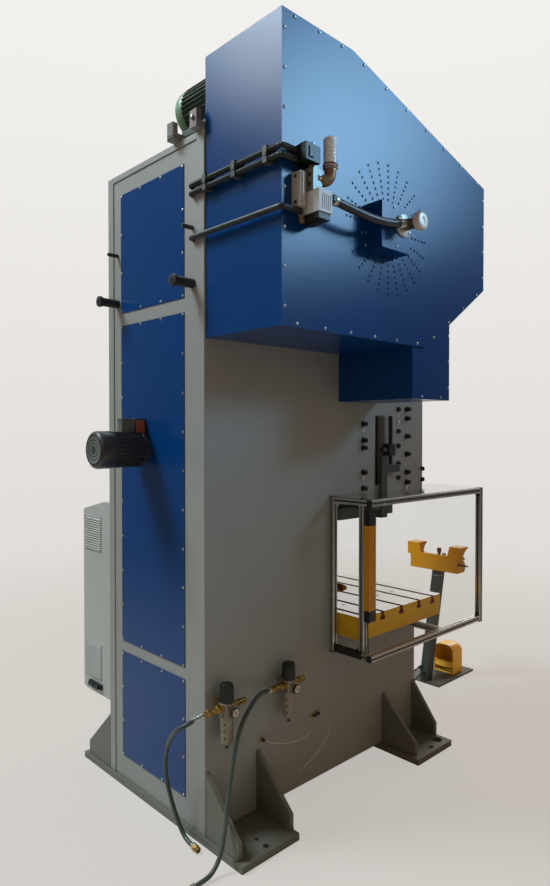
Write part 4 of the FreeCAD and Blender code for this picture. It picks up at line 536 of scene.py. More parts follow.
motor_black = finish("motor_black", (0.020, 0.022, 0.025), 0.33, dust=0.25, grain=500, depth=0.3, coat=0.2)
box_green = finish("box_green", (0.10, 0.125, 0.105), 0.4, dust=0.3, grain=400, depth=0.3)
# Light grey-green for a thin ring of painted highlight on the cowl's end.
cowl_ring_painted_highlight = finish("cowl_ring_painted_highlight", (0.15, 0.18, 0.16), 0.45, dust=0.3, grain=500, depth=0.3)
box_orange = finish("box_orange", (0.30, 0.085, 0.035), 0.42, dust=0.3, grain=400, depth=0.2)


def finned_barrel(start, axis, length, root, tip, fins):
    """Barrel with straight cooling fins: the radius swings between root and tip as it goes round."""
    columns = fins * 8
    turn = (np.arange(columns) + 0.5) / columns * fins % 1.0
    radius = root + (tip - root) * np.interp(turn, [0, 0.3, 0.4, 0.6, 0.7, 1], [0, 0, 1, 1, 0, 0])
    axis = direction(*axis)
    side = direction(*np.cross(axis, (0.0, 0.0, 1.0)))
    other = np.cross(axis, side)
    angle = np.arange(columns) / columns * 2 * np.pi
    ring = radius[:, None] * (np.cos(angle)[:, None] * side + np.sin(angle)[:, None] * other)
    steps = np.array([0.0, 4.0, length - 4.0, length])
    shrink = np.array([0.94, 1.0, 1.0, 0.94])
    centres = np.asarray(start, float) + steps[:, None] * axis
    return grid_skin(centres[:, None, :] + shrink[:, None, None] * ring[None])


def fan_cowl(start, axis, length, radius, slots=4):
    """Pressed cowl with a rounded rim and rings of grille in its end."""
    inner = radius - 13
    profile = [
        (0, radius - 1), (2, radius), (length - 16, radius), (length - 7, radius - 3),
        (length - 2, radius - 10), (length, inner),
    ]
    slot = [(-0.2, 3), (-4, 2.4), (-4, -2.4), (-0.2, -3)]
    for ring in np.linspace(inner - 4, radius * 0.28, slots):
        profile += [(length + step, ring + offset) for step, offset in slot]
    return turned(profile + [(length, radius * 0.12)], start, axis, 48)


pump_x, pump_z = 65, 1600
piece(
    "pump_motor_body",
    [
        turned([(0, 60), (14, 60), (16, 58), (18, 48), (30, 46)], (pump_x, -2, pump_z), (0, 1, 0), 32),
        finned_barrel((pump_x, 24, pump_z), (0, 1, 0), 152, 73, 79, 28),
        fan_cowl((pump_x, 172, pump_z), (0, 1, 0), 78, 81.5),
        turned([(0, 75), (10, 77), (12, 75)], (pump_x, 22, pump_z), (0, 1, 0), 40),
        block(50, 86, 66, 122, 1655, 1730),
        block(47, 89, 64, 124, 1729, 1736),
        turned([(0, 11), (12, 11), (13, 8), (26, 8)], (89, 94, 1700), (-1, 0, 0), 6),
        # thin lighter ring just proud of the cowl's end face: a painted highlight
        turned([(0, 60), (1.5, 60), (2, 57), (1.4, 56)], (pump_x, 248.2, pump_z), (0, 1, 0), 48),
    ],
    [motor_black] * 4 + [box_green, box_green, motor_black, cowl_ring_painted_highlight],
    bevel=1.2,
    node="pump_motor",
)
relay_skins = [block(54, 92, -1.5, 54, 1650, 1736), block(49, 54.5, 6, 50, 1662, 1728)]
piece("pump_relay_box", relay_skins, [motor_black, box_orange], bevel=2.0)


# ---- Flywheel cover ----
# Folded steel sheet in hammered blue, with a flat side panel held by pan-head screws all round. Seven
# rings of punched round holes surround the shaft, twenty-four in each.

cover_back, cover_front, cover_side = -8.0, -1422.0, -817.0
shaft_y, shaft_z = -627.0, 2520.0
cover_corners = np.array(
    [
        (cover_back, 2055.0), (cover_back, 3172.0), (-396.0, 3172.0), (cover_front, 2893.0),
        (cover_front, 2385.0), (-917.0, 2055.0),
    ]
)
softened("drive_cover", cover_blue, 1.6)
softened("lower_cover", cover_blue, 1.6)


def circle_of(sides):
    """Unit circle of a number of points."""
    turn = np.arange(sides) * 2 * np.pi / sides
    return np.stack([np.cos(turn), np.sin(turn)], axis=-1)


def perforated_panel(outer, inner):
    """Side panel between two planes: a cell with a round hole for each spoke and ring, a plain web out to
    the panel's outline and a plain web in to the shaft's hole."""
    spokes, rings, first, last, hole = 24, 7, 125.0, 267.0, 5.8
    pitch = (last - first) / (rings - 1)
    middle = 2 * np.pi * np.arange(spokes) / spokes
    radius = first + pitch * np.arange(rings)
    round_cell = np.array([(-1, -1), (0, -1), (1, -1), (1, 0), (1, 1), (0, 1), (-1, 1), (-1, 0)], float)
    angle = middle[:, None, None] + round_cell[:, 0] * np.pi / spokes
    reach = radius[None, :, None] + round_cell[:, 1] * pitch / 2 + 0 * angle
    angle = angle + 0 * reach
    rim = np.stack([reach * np.cos(angle), reach * np.sin(angle)], axis=-1)
    along = circle_of(spokes)
    across = along @ np.array([[0, 1], [-1, 0]])
    turn = np.arctan2(round_cell[:, 1], round_cell[:, 0])
    centre = radius[None, :, None, None] * along[:, None, None, :]
    bore = centre + hole * (
        np.cos(turn)[:, None] * across[:, None, None, :] + np.sin(turn)[:, None] * along[:, None, None, :]
    )
    flat = np.stack([rim, bore, bore, rim], axis=2).reshape(-1, 4, 8, 2)
    depth = np.broadcast_to(np.array([outer, outer, inner, inner])[:, None], flat.shape[:3])
    cells = np.stack([depth, flat[..., 0] + shaft_y, flat[..., 1] + shaft_z], axis=-1)
    _, cell_faces = grid_skin(cells[0], False)
    steps = np.arange(len(cells)) * 32
    holes = cells.reshape(-1, 3), [[c + step for c in face] for step in steps for face in cell_faces]

    shaft = np.array([shaft_y, shaft_z])
    edge, inside, shaft_hole = (
        size * circle_of(48) + shaft for size in (last + pitch / 2, first - pitch / 2, 40.0)
    )
    loops = [[Vector((y, z, 0)) for y, z in loop] for loop in (cover_corners, edge[::-1])]
    outline = np.vstack([cover_corners, edge[::-1]])
    triangles = [list(face) for face in tessellate_polygon(loops)]
    count, corners = len(outline), len(cover_corners)
    web = np.vstack([np.insert(outline, 0, outer, axis=1), np.insert(outline, 0, inner, axis=1)])
    corner = np.arange(corners)
    after = np.roll(corner, -1)
    walls = np.stack([corner, after, after + count, corner + count], axis=-1).tolist()
    web_faces = triangles + [[c + count for c in face[::-1]] for face in triangles] + walls

    rows = [
        np.insert(loop, 0, level, axis=1)
        for loop, level in ((inside, outer), (shaft_hole, outer), (shaft_hole, inner), (inside, inner))
    ]
    return [holes, (web, web_faces), grid_skin(np.stack(rows), False)]


panel_skins = perforated_panel(cover_side, -814.0)
piece("side_panel_sheet", panel_skins, cover_blue, node="cover_side_panel", merge=0.00005)


def edge_screws(outline, counts, inset):
    """Places along every edge of an outline, drawn in by an inset and spread evenly between its corners."""
    outline = np.asarray(outline, float)
    ahead = np.roll(outline, -1, axis=0) - outline
    length = np.linalg.norm(ahead, axis=1, keepdims=True)
    ahead = ahead / length
    inward = np.stack([-ahead[:, 1], ahead[:, 0]], axis=-1)
    inward *= np.sign(np.sum(inward * (outline.mean(axis=0) - outline), axis=1, keepdims=True))
    places = [
        start + inset * side + forward * (size * (np.arange(count)[:, None] + 0.5) / max(count, 1))
        for start, side, forward, size, count in zip(outline, inward, ahead, length, counts)
    ]
    return np.vstack(places)


cover_ring = edge_screws(cover_corners, (8, 3, 7, 4, 4, 6), 13.0)
pan_heads("cover_screws", np.insert(cover_ring, 0, cover_side, axis=1), (-1, 0, 0), 6.5, 4.5)
lower_corners = [(-822, 1825), (-822, 2055), (-917, 2055), (-1124, 2190), (-1124, 1825)]
lower_ring = edge_screws(lower_corners, (0, 0, 0, 3, 2), 12.0)
pan_heads("lower_cover_screws", np.insert(lower_ring, 0, -807.0, axis=1), (-1, 0, 0), 5.5, 4.0)


# ---- Rotary union on its bracket ----
# A folded blue bracket carries the aluminium union: round flange, slim brass neck and a ribbed white end
# cap. The hose is held on the side inlet by a pressed collar.

softened("union_bracket", cover_blue, 1.0)
union_white = finish("union_white", (0.62, 0.61, 0.57), 0.35, metallic=0.2, dust=0.3, grain=500, depth=0.2)
union_brass = finish(
    "union_brass", (0.20, 0.165, 0.075), 0.32, metallic=0.85, dust=0.35, grain=700, depth=0.2
)
collar_zinc = finish("collar_zinc", (0.60, 0.62, 0.58), 0.3, metallic=0.6, dust=0.2, grain=700, depth=0.2)


def ribbed(lead, stations, rib, tail):
    """Profile with the same (distance, radius) rib set down at every station between a lead and a tail."""
    return lead + [(station + step, radius) for station in stations for step, radius in rib] + tail


cap_profile = ribbed(
    [(0, 31), (2, 34), (6, 36)], np.arange(7.0, 22.0, 5.0),
    [(0, 36.0), (0.8, 34.4), (2.0, 34.4), (2.8, 36.0)],
    [(24, 36), (28, 34.5), (30.5, 31), (32, 25), (31.6, 12), (29, 11)],
)
neck_profile = [(0, 22), (2, 24), (26, 24), (28, 21), (44, 21), (46, 24), (55, 24), (57, 22)]
inlet_profile = [
    (0, 19), (3, 20), (8, 20), (10, 18), (14, 18), (16, 20), (20, 20), (23, 18.5), (26, 14), (42, 14),
]
hose_end = np.array(clutch_route[-1], float)
hose_run = direction(*(hose_end - clutch_route[-2]))
flange_face = -903.0
piece(
    "union_body",
    [
        turned([(0, 46), (8, 46), (10, 45), (11, 42)], (-892, shaft_y, shaft_z), (-1, 0, 0), 40),
        turned(neck_profile, (flange_face, shaft_y, shaft_z), (-1, 0, 0), 24),
        turned(cap_profile, (-960, shaft_y, shaft_z), (-1, 0, 0), 40),
        turned(inlet_profile, hose_end - hose_run * 22, hose_run, 32),
    ],
    [union_white, union_brass, union_white, collar_zinc],
    bevel=0.8,
    node="rotary_union",
)
bolt_turn = np.arange(4) * np.pi / 2 + 0.78
bolt_circle = np.stack(
    [np.full(4, flange_face), shaft_y + 39 * np.cos(bolt_turn), shaft_z + 39 * np.sin(bolt_turn)], axis=-1
)
pan_heads("union_flange_screws", bolt_circle, (-1, 0, 0), 4.5, 4.0)
pan_heads("bracket_screws", [(-892, -566, 2582), (-892, -588, 2428)], (-1, 0, 0), 6.0, 4.5)
pan_heads("bracket_foot_screw", [(-817, -478, 2428)], (-1, 0, 0), 6.0, 4.5)


# ---- Clutch valve, silencer and switch ----
# A zinc valve body with a cream side block, a white solenoid box with slanting ribs, a copper-coloured
# elbow up to the ribbed silencer, and a dark pressure switch on a stem.

valve_cream = finish("valve_cream", (0.44, 0.46, 0.45), 0.42, dust=0.35, grain=500, depth=0.25)
valve_grey = finish("valve_grey", (0.24, 0.28, 0.27), 0.38, metallic=0.4, dust=0.35, grain=420, depth=0.3)
valve_white = finish("valve_white", (0.56, 0.62, 0.68), 0.45, dust=0.25, grain=600, depth=0.2)
valve_dark = finish("valve_dark", (0.016, 0.017, 0.018), 0.4, dust=0.25, grain=500, depth=0.3)
switch_green = finish("switch_green", (0.005, 0.014, 0.009), 0.4, dust=0.06, grain=300, depth=0.5)
copper = finish("copper", (0.30, 0.175, 0.095), 0.36, metallic=0.5, dust=0.3, grain=600, depth=0.2)
ring_red = finish("ring_red", (0.14, 0.022, 0.018), 0.4, dust=0.2, grain=600, depth=0.2)
silencer_white = finish(
    "silencer_white", (0.78, 0.86, 0.92), 0.34, metallic=0.1, dust=0.25, grain=600, depth=0.2
)


def slanting_rib(y, face=-917):
    """One slanting rib on the box's outer face."""
    return prism([(y, 2466), (y + 5.5, 2466), (y + 0.5, 2518), (y - 5, 2518)], face + 0.5, face - 2.4, "x")


piece(
    "valve_side_block",
    [
        block(-816, -861, -57, -86, 2476, 2600),
        block(-815, -852, -86, -94, 2484, 2592),
        block(-861, -866, -64, -72, 2480, 2596),
        *[turned([(0, 6), (4, 6), (5, 5)], (-838, -57, z), (0, 1, 0), 12) for z in (2584, 2492)],
    ],
    [valve_cream, valve_dark, valve_cream, valve_dark, valve_dark],
    bevel=1.6,
    node="valve_block",
)
piece(
    "valve_body",
    [
        block(-816, -889, -93, -140, 2534, 2612),
        block(-816, -884, -104, -130, 2610, 2622),
        turned([(-1, 5), (-0.6, 5)], (-858, -92.4, 2572), (0, 1, 0), 10),
        *[
            turned([(0, size), (1.2, size)], (x, -92.8, z), (0, 1, 0), 12)
            for x, z, size in ((-872, 2590, 7), (-872, 2556, 7), (-848, 2596, 5))
        ],
    ],
    [valve_grey, valve_grey, valve_dark, valve_dark, valve_dark, valve_dark],
    bevel=2.0,
)
piece(
    "solenoid_box",
    [
        prism(
            [(-92, 2454), (-164, 2454), (-164, 2530), (-158, 2536), (-98, 2536), (-92, 2530)],
            -816, -917, "x",
        ),
        *map(slanting_rib, np.linspace(-154, -112, 5)),
    ],
    valve_white,
    bevel=2.2,
)
plug_skins = [block(-822, -911, -98, -160, 2430, 2454.5), block(-835, -880, -110, -140, 2418, 2431)]
piece("solenoid_plug", plug_skins, valve_dark, bevel=2.0)
port_profile = [(0, 9), (12, 9), (13, 11), (24, 11), (25, 9), (30, 9)]
piece("port_brass", [turned(port_profile, (-846, -74, 2450), (0, -0.25, -1), 6)], copper, bevel=0.8)


elbow_turn = np.linspace(0, np.pi / 2, 9)[:, None]
stack_x, stack_y, elbow_z, silencer_z = -890, -182, 2580, 2628
elbow_run, elbow_corner = direction(-21.0, -56.0, 0.0), np.array([stack_x, stack_y, elbow_z])
elbow_path = elbow_corner + np.vstack([
    (5 * np.arange(5)[:, None] - 60) * elbow_run,
    -30 * (1 - np.sin(elbow_turn)) * elbow_run + 30 * (1 - np.cos(elbow_turn)) * [0, 0, 1],
    (34 + 4 * np.arange(4)[:, None]) * [0, 0, 1],
])
elbow_size = [1.0, 0.9, 1.0, 0.9, 1.0] + [1.0] * 9 + [1.06] * 4
silencer_profile = ribbed(
    [(0, 26), (3, 26), (4, 23), (9, 23), (10, 26), (13, 26), (14, 22)], np.arange(17.0, 104.0, 7.5),
    [(0, 22.0), (1.4, 25.0), (4.2, 25.0), (5.6, 22.0)], [(108, 22), (110, 21), (112, 17)],
)
red_ring = [(0, 27.5), (2, 28), (4, 27.5)]
piece(
    "exhaust_elbow",
    [
        carried(21 * circle_of(20), elbow_path, sizes=elbow_size, up=(0.94, -0.35, 0.02)),
        turned([(0, 24), (7, 24), (8, 22)], elbow_corner - elbow_run * 62, elbow_run, 8),
        *[turned(red_ring, (stack_x, stack_y, silencer_z + z), (0, 0, 1), 32) for z in (0.5, 10.5)],
    ],
    [copper, copper, ring_red, ring_red],
)
silencer_skin = turned(silencer_profile, (stack_x, stack_y, silencer_z), (0, 0, 1), 36)
piece("silencer_body", [silencer_skin], silencer_white, node="silencer")
piece(
    "pressure_switch",
    [
        block(-818, -884, -62, -136, 2634, 2694),
        block(-840, -876, -70, -116, 2692, 2702),
        turned([(0, 9), (14, 9), (15, 12), (22, 12)], (-853, -119, 2612), (0, 0, 1), 12),
        turned([(0, 8), (6, 8), (8, 6), (9, 3)], (-866, -112, 2701), (0, 0, 1), 16),
        block(-883, -888, -76, -100, 2646, 2684),
    ],
    [switch_green, switch_green, copper, screw_steel, valve_dark],
    bevel=4.0,
)
outlet = np.array(clutch_route[0], float)
outlet_run = direction(*(np.array(clutch_route[1]) - outlet))
collar_profile = [
    (-10, 18), (-8, 19.5), (-4, 19.5), (-2, 18), (0, 18), (2, 19.5), (6, 19.5), (8, 17), (9, 16.2),
]
piece(
    "outlet_collar",
    [
        turned([(-30, 15), (-22, 15), (-21, 19), (-9, 19), (-8, 15)], outlet, outlet_run, 6),
        turned(collar_profile, outlet, outlet_run, 32),
    ],
    [valve_dark, collar_zinc],
    bevel=0.6,
)


# ---- Conduits and supply hose ----
# Two black corrugated conduits and an air hose come out of the column, run over the cover's rear wall in
# moulded clamps and turn the corner to the valve.

conduit_black = finish("conduit_black", (0.012, 0.015, 0.014), 0.5, dust=0.15, grain=500, depth=0.2)
clamp_grey = finish("clamp_grey", (0.05, 0.053, 0.05), 0.5, dust=0.35, grain=500, depth=0.3)


def rounded_path(corners, radius, step):
    """Points along straight runs whose corners are turned by arcs, a step apart."""
    corners = np.asarray(corners, float)
    line = [corners[0]]
    for before, corner, after in zip(corners, corners[1:], corners[2:]):
        into, out = direction(*(corner - before)), direction(*(after - corner))
        half = np.arccos(np.clip(into @ out, -1, 1)) / 2
        back = radius * np.tan(half)
        share = np.linspace(0, 1, 9)[:, None]
        start, end = corner - into * back, corner + out * back
        line += list((1 - share) ** 2 * start + 2 * share * (1 - share) * corner + share**2 * end)
    line = np.array(line + [corners[-1]])
    gaps = np.linalg.norm(np.diff(line, axis=0), axis=1)
    along = np.concatenate([[0], np.cumsum(gaps)])
    wanted = np.linspace(0, along[-1], int(along[-1] / step) + 1)
    return np.stack([np.interp(wanted, along, line[:, k]) for k in range(3)], axis=-1)


round_section = circle_of(14)
pipe_x, wall_y, supply_z, conduit_levels = -839, 14, 2464, (2675.0, 2643.0)


def corner_route(z, end_y):
    """Corners of a run out of the column, along the rear wall and round to the valve."""
    return [(-304, -14, z), (-304, wall_y, z), (pipe_x, wall_y, z), (pipe_x, end_y, z)]


conduits = []
for height in conduit_levels:
    line = rounded_path(corner_route(height, -57.0), 16.0, 3.0)
    conduits.append(carried(round_section, line, sizes=10.6 + 0.7 * np.cos(np.arange(len(line)) * np.pi)))
supply = rounded_path(corner_route(supply_z, -80), 18.0, 12.0)
piece("conduits", conduits, conduit_black, node="duct_rails")
piece("supply_hose", [carried(round_section, supply, sizes=11.0)], conduit_black)
clamps = []
for x in (-415.0, -591.0, -766.0):
    for z in conduit_levels:
        clamps += [
            block(x - 13, x + 13, -7.5, 4, z - 15, z + 15),
            block(x - 11, x + 11, 3, 27, z - 14.5, z - 11),
            block(x - 11, x + 11, 3, 27, z + 11, z + 14.5),
            block(x - 11, x + 11, 25, 29, z - 14.5, z + 14.5),
        ]
    clamps.append(block(x - 9, x + 9, 26, 31, 2652, 2666))
piece("conduit_clamps", clamps, clamp_grey, bevel=1.0)
arch = np.linspace(0, np.pi, 9)
saddle = np.stack([np.zeros(9), wall_y + 11.2 * np.sin(arch), supply_z + 11.2 * np.cos(arch)], axis=-1)
strap = [(-5, 0), (5, 0), (5, 1.5), (-5, 1.5)]
saddles = [carried(strap, saddle + [x, 0, 0], up=(0, -1, 0.01)) for x in (-520.0, -706.0)]
piece("hose_saddles", saddles, conduit_black)


# ---- Drive motor on the head ----
# A green painted motor with cast fins and a lighter pressed cowl, its terminal box towards the front, on
# a pair of slotted tension rails with a stop block on each rail's rear end.

motor_green = finish("motor_green", (0.022, 0.048, 0.026), 0.42, dust=0.3, grain=400, depth=0.35)
cowl_green = finish("cowl_green", (0.115, 0.225, 0.120), 0.42, dust=0.25, grain=400, depth=0.25)
rail_grey = finish("rail_grey", (0.24, 0.24, 0.235), 0.48, dust=0.4, grain=300, depth=0.35)
block_brown = finish("block_brown", (0.17, 0.145, 0.135), 0.5, dust=0.45, grain=300, depth=0.4)
hex_steel = finish("hex_steel", (0.33, 0.32, 0.30), 0.36, metallic=1.0, dust=0.5, grain=900, depth=0.2)
motor_y, motor_z = -135, 3055
end_bell = [(0, 100), (8, 109), (30, 109), (34, 96), (42, 70)]
piece(
    "drive_motor_body",
    [
        finned_barrel((-178, motor_y, motor_z), (-1, 0, 0), 200, 98, 109, 36),
        turned(end_bell, (-378, motor_y, motor_z), (-1, 0, 0), 48),
        fan_cowl((-186, motor_y, motor_z), (1, 0, 0), 56, 106, 6),
        block(-186, -316, -204, -306, 3000, 3110),
        block(-182, -320, -303, -309, 2996, 3114),
        block(-181, -364, -35, -235, 2920, 2948),
        block(-196, -350, -60, -210, 2946, 2972),
    ],
    [motor_green, motor_green, cowl_green, motor_green],
    bevel=2.0,
    node="drive_motor",
)
softened("motor_pulley", hex_steel, 1.0)
rail_low, rail_high = 2890, 2920
rail_section = np.array([
    (0, rail_low), (0, rail_high), (-12, rail_high), (-12, 2908), (-33, 2908), (-33, rail_high),
    (-45, rail_high), (-45, rail_low),
])
rails = [prism(rail_section + [x, 0], 32.0, -300.0, "y") for x in (-170.0, -330.0)]
piece("tension_rails", rails, rail_grey, bevel=1.2, node="motor_rails")
piece(
    "rail_blocks",
    [
        block(-214, -171, 8, 32, 2890.5, 2962),
        *[block(-215, -170, 31, 34, z, z + 5) for z in np.arange(2898.0, 2960.0, 10.0)],
        block(-374, -329, 8, 33, 2890.5, 2962),
        turned([(0, 10), (9, 10), (10, 8)], (-352, 33, 2930), (0, 1, 0), 6),
    ],
    [rail_grey] * 8 + [block_brown, hex_steel],
    bevel=1.5,
)


# ---- Shafts, gears, flywheel and clutch ----
# Forged crankshaft and connecting rod, cut steel gears, a cast flywheel with its belt and the clutch
# drum, all inside the head and the cover; bronze bushes carry the shafts.

forged_steel = finish("forged_steel", (0.30, 0.29, 0.28), 0.38, metallic=0.9, dust=0.3, grain=500, depth=0.3)
gear_steel = finish("gear_steel", (0.26, 0.25, 0.235), 0.34, metallic=0.9, dust=0.25, grain=600, depth=0.25)
cast_grey = finish("cast_grey", (0.12, 0.12, 0.118), 0.55, metallic=0.3, dust=0.3, grain=260, depth=0.6)
bronze = finish("bronze", (0.42, 0.25, 0.10), 0.34, metallic=0.9, dust=0.2, grain=600, depth=0.2)
belt_rubber = finish("belt_rubber", (0.018, 0.018, 0.018), 0.6, dust=0.3, grain=500, depth=0.3)
clutch_black = finish(
    "clutch_black", (0.035, 0.035, 0.038), 0.4, metallic=0.4, dust=0.25, grain=500, depth=0.3
)
for node, surface, width in (
    ("crankshaft", forged_steel, 3.0), ("con_rod", forged_steel, 3.0), ("main_gear", gear_steel, 1.0),
    ("pinion_shaft", gear_steel, 1.0), ("flywheel", cast_grey, 3.0), ("clutch", clutch_black, 2.0),
    ("bearing_bushes", bronze, 0.6), ("drive_belt", belt_rubber, 1.0),
):
    softened(node, surface, width)


# ---- Slide, gibs and the bolts that set them ----
# Dark green slide with its stop bracket outside the left plate, bronze-faced gibs inside, and rows of
# black studs, nuts and cap screws through both side plates.

slide_green = finish("slide_green", (0.038, 0.052, 0.045), 0.42, dust=0.35, grain=380, depth=0.35)
bolt_black = finish("bolt_black", (0.020, 0.020, 0.021), 0.38, metallic=0.3, dust=0.3, grain=600, depth=0.2)
slide_olive = finish("slide_olive", (0.150, 0.145, 0.125), 0.5, dust=0.3, grain=380, depth=0.35)
wing_top = 1380


def slide_finish(centres, normals):
    """Olive above the slide's wings, green below."""
    return centres[:, 2] > wing_top


softened("slide", [slide_green, slide_olive], 3.0, choose=slide_finish)
softened("gibs", bronze, 1.0)
softened("slide_bracket", slide_green, 1.5)
bolt_rows = {
    "studs": (
        (-1010.0, (1844, 1718, 1634, 1596, 1471, 1390)), (-1388.0, (1801, 1751, 1653, 1556, 1457, 1403)),
    ),
    "caps": ((-1310.0, (1799, 1681, 1602, 1507, 1431)), (-1539.0, (1470, 1410, 1344))),
    "domes": ((-1010.0, (1686, 1438)), (-1310.0, (1733,)), (-1388.0, (1375,))),
}


def mirrored(skin):
    """The same skin reaching towards -X."""
    points, faces = skin
    return points * np.array([-1.0, 1.0, 1.0]), [face[::-1] for face in faces]


def same(skin):
    """The skin as it is."""
    return skin


def on_both_plates(kinds):
    """Skins set down on their rows of the right-hand plate, then mirrored on the left-hand one."""
    return [
        repeated(turn(skin), [(side * plate_face, y, z) for y, heights in bolt_rows[rows] for z in heights])
        for side, turn in ((1, same), (-1, mirrored)) for skin, rows in kinds
    ]


def headed(profile, sides):
    """Head of a fastener turned about X from the plate's face."""
    return turned(profile, (0, 0, 0), (1, 0, 0), sides)


nut_profile = [
    (0, 15), (2.4, 15), (2.5, 13.6), (12, 13.6), (12.5, 8.5), (15, 8.5), (15.5, 11.6), (26, 11.6), (27, 10.4),
]
bolt_kinds = (
    (headed(nut_profile, 6), "studs"),
    (headed([(0, 15.5), (2.2, 15.5), (2.6, 15)], 24), "studs"),
    (headed([(10, 7.2), (29, 7.2), (30, 6)], 16), "studs"),
    (headed([(0, 12.4), (11.5, 12.4), (13, 11.2), (13, 6.4), (7, 6.2)], 20), "caps"),
)
piece("gib_bolt_set", on_both_plates(bolt_kinds), bolt_black, bevel=0.5, node="gib_bolts")
dome_white = finish("dome_white", (0.55, 0.53, 0.49), 0.45, dust=0.3, grain=600, depth=0.15)
dome = headed([(0, 11.5), (3, 11.5), (6, 9.5), (8, 5.5), (8.6, 1.5)], 20)
piece("oil_hole_caps", on_both_plates([(dome, "domes")]), dome_white)


# ---- Stroke scale ----
# A black scale rod held in a split clamp block with a knurled knob, and a small position sensor.

knurl = circle_of(44) * np.tile([14.0, 13.0], 22)[:, None]
rod_x, knob_z = -406, 1583.5
knob_line = [(rod_x, y, knob_z) for y in (-1179, -1160, -1134)]
piece(
    "scale_rod",
    [
        turned([(0, 9), (2, 11), (250, 11), (253, 9)], (rod_x, -1210, 1508), (0, 0, 1), 20),
        block(-380, -422, -1178, -1231, 1553, 1614),
        block(-400, -412, -1176, -1179, 1556, 1611),
        carried(knurl, knob_line, sizes=[0.8, 1.0, 0.95]),
        block(-380, -401, -1231, -1259, 1575.5, 1603.5),
        turned([(0, 5), (6, 5), (7, 4)], (-401, -1245, 1590), (-1, 0, 0), 12),
        *[turned([(0, 4), (5, 4)], (-422, -1190, z), (-1, 0, 0), 6) for z in (1600, 1567)],
    ],
    bolt_black,
    bevel=1.2,
    node="stroke_scale",
)


# ---- Bolster ----
# Thick steel table across the bed: ground on top, yellow on its edges, with red-primed T-slots and drop
# hole and a few tapped holes.

ground_steel = finish(
    "ground_steel", (0.92, 0.91, 0.90), 0.24, metallic=0.55, dust=0.1, variation=0.05, grain=900, depth=0.1
)
bolster_yellow = finish(
    "bolster_yellow", (0.78, 0.43, 0.002), 0.42, dust=0.08, grain=350, depth=0.3,
    dust_colour=(0.3, 0.17, 0.03), shine=0.3,
)
primer_red = finish("primer_red", (0.30, 0.030, 0.025), 0.5, dust=0.2, grain=400, depth=0.3)
# Near-black for the tapped holes: painted shade.
hole_painted_shade = finish("hole_painted_shade", (0.05, 0.045, 0.04), 0.7, dust=0.5)
slot_floor, table_top, table_back, table_front, bore_y, bore_radius = 758, 799.5, -796, -1477.5, -1123, 139.5


def table_finish(centres, normals):
    """Yellow edges, ground top, red slots and drop hole."""
    x, y, z = centres.T
    inside = np.hypot(x, y - bore_y) < bore_radius
    slot = (z > slot_floor) & (z < table_top) & (np.abs(normals[:, 0]) < 0.5)
    slot &= (y < table_back) & (y > table_front)
    return np.where((z > table_top) & (normals[:, 2] > 0.9), 1, np.where(inside | slot, 2, 0))


softened("bolster", [bolster_yellow, ground_steel, primer_red], 1.2, choose=table_finish)
# The tapped holes are flat dark discs lying on the ground top, painted shade in place of the holes' depth.
tapped = turned([(0, 8), (0.4, 8), (0.5, 5)], (0, 0, 799.9), (0, 0, 1), 16)
tapped_places = [(x, y, 0) for x in (-330, 330) for y in (-920, -1050, -1200, -1330)]
piece("tapped_holes", [repeated(tapped, tapped_places)], hole_painted_shade)


# ---- Side guards ----
# Slotted aluminium profile with a black strip in the bottom of each groove, black corner brackets and a
# plain black block for the rear bottom rail, glazed with clear sheet on the side, the top and the short
# wall behind. One guard stands on each side of the die space.

profile_aluminium = finish(
    "profile_aluminium", (0.60, 0.59, 0.56), 0.26, metallic=0.85, dust=0.15, grain=900, depth=0.1
)
strip_black = finish("strip_black", (0.010, 0.009, 0.008), 0.5, dust=0.12, grain=500, depth=0.2)
corner_shape = np.array([(10.5, 3.9), (15.0, 3.9), (15.0, 13.0), (13.0, 15.0), (3.9, 15.0), (3.9, 10.5)])
groove_strip = np.array([(10.6, -3.9), (12.6, -3.9), (12.6, 3.9), (10.6, 3.9)])
quarter_turns = [np.linalg.matrix_power(np.array([[0.0, 1.0], [-1.0, 0.0]]), k) for k in range(4)]
profile_outline = np.vstack([corner_shape @ turn for turn in quarter_turns])
corner_post, end_post, plate_post = (-566, -781), (-626, -1737), (-395, -766)
post_low, post_high, beam_low, beam_high = 622, 1366, 637, 1351
bar_runs = [
    *[((*post, post_low), (*post, post_high), (0, 1, 0)) for post in (corner_post, end_post, plate_post)],
    ((-611, -1372, beam_low), (-380, -1372, beam_low), (0, 0, 1)),
    ((-626, -751, beam_low), (-626, -1722, beam_low), (0, 0, 1)),
    ((-626, -751, beam_high), (-626, -1722, beam_high), (0, 0, 1)),
    ((-611, -766, beam_high), (-410, -766, beam_high), (0, 0, 1)),
    ((-611, -766, beam_low), (-581, -766, beam_low), (0, 0, 1)),
]
# The first block is the rear bottom rail between the corner post and the plate post, in plain black.
fittings = [block(-581, -409.5, -780.5, -751.5, 622.5, 651.5)]
for x, y in (corner_post, end_post, plate_post):
    for low, high in ((616, 622.5), (1365.5, 1367.5)):
        fittings.append(block(x - 14.5, x + 14.5, y - 14.5, y + 14.5, low, high))
for z, rise in ((652, 1), (1336, -1)):
    fittings += [
        prism([(-1722, z), (-1700, z), (-1722, z + 22 * rise)], -632, -620, "x"),
        prism([(-551, z), (-529, z), (-551, z + 22 * rise)], -776, -768, "y"),
        block(-640.5, -611.5, -751.5, -749.5, z - 15 - 14.5 * rise, z - 15 * rise + 14.5),
    ]
for side, turn in (("left", same), ("right", mirrored)):
    bars = [turn(carried(profile_outline, (start, end), up)) for start, end, up in bar_runs]
    strips = [
        turn(carried(groove_strip @ quarter, (start, end), up))
        for start, end, up in bar_runs for quarter in quarter_turns
    ]
    piece("guard_profile_" + side, bars, profile_aluminium, node="guard_frame_" + side)
    piece("guard_strips_" + side, strips + [turn(skin) for skin in fittings], strip_black)


def two_shaders(tree, share, first, second):
    """One shader fading into another by a share."""
    return added(tree, "MixShader", {0: share, 1: first.outputs[0], 2: second.outputs[0]})


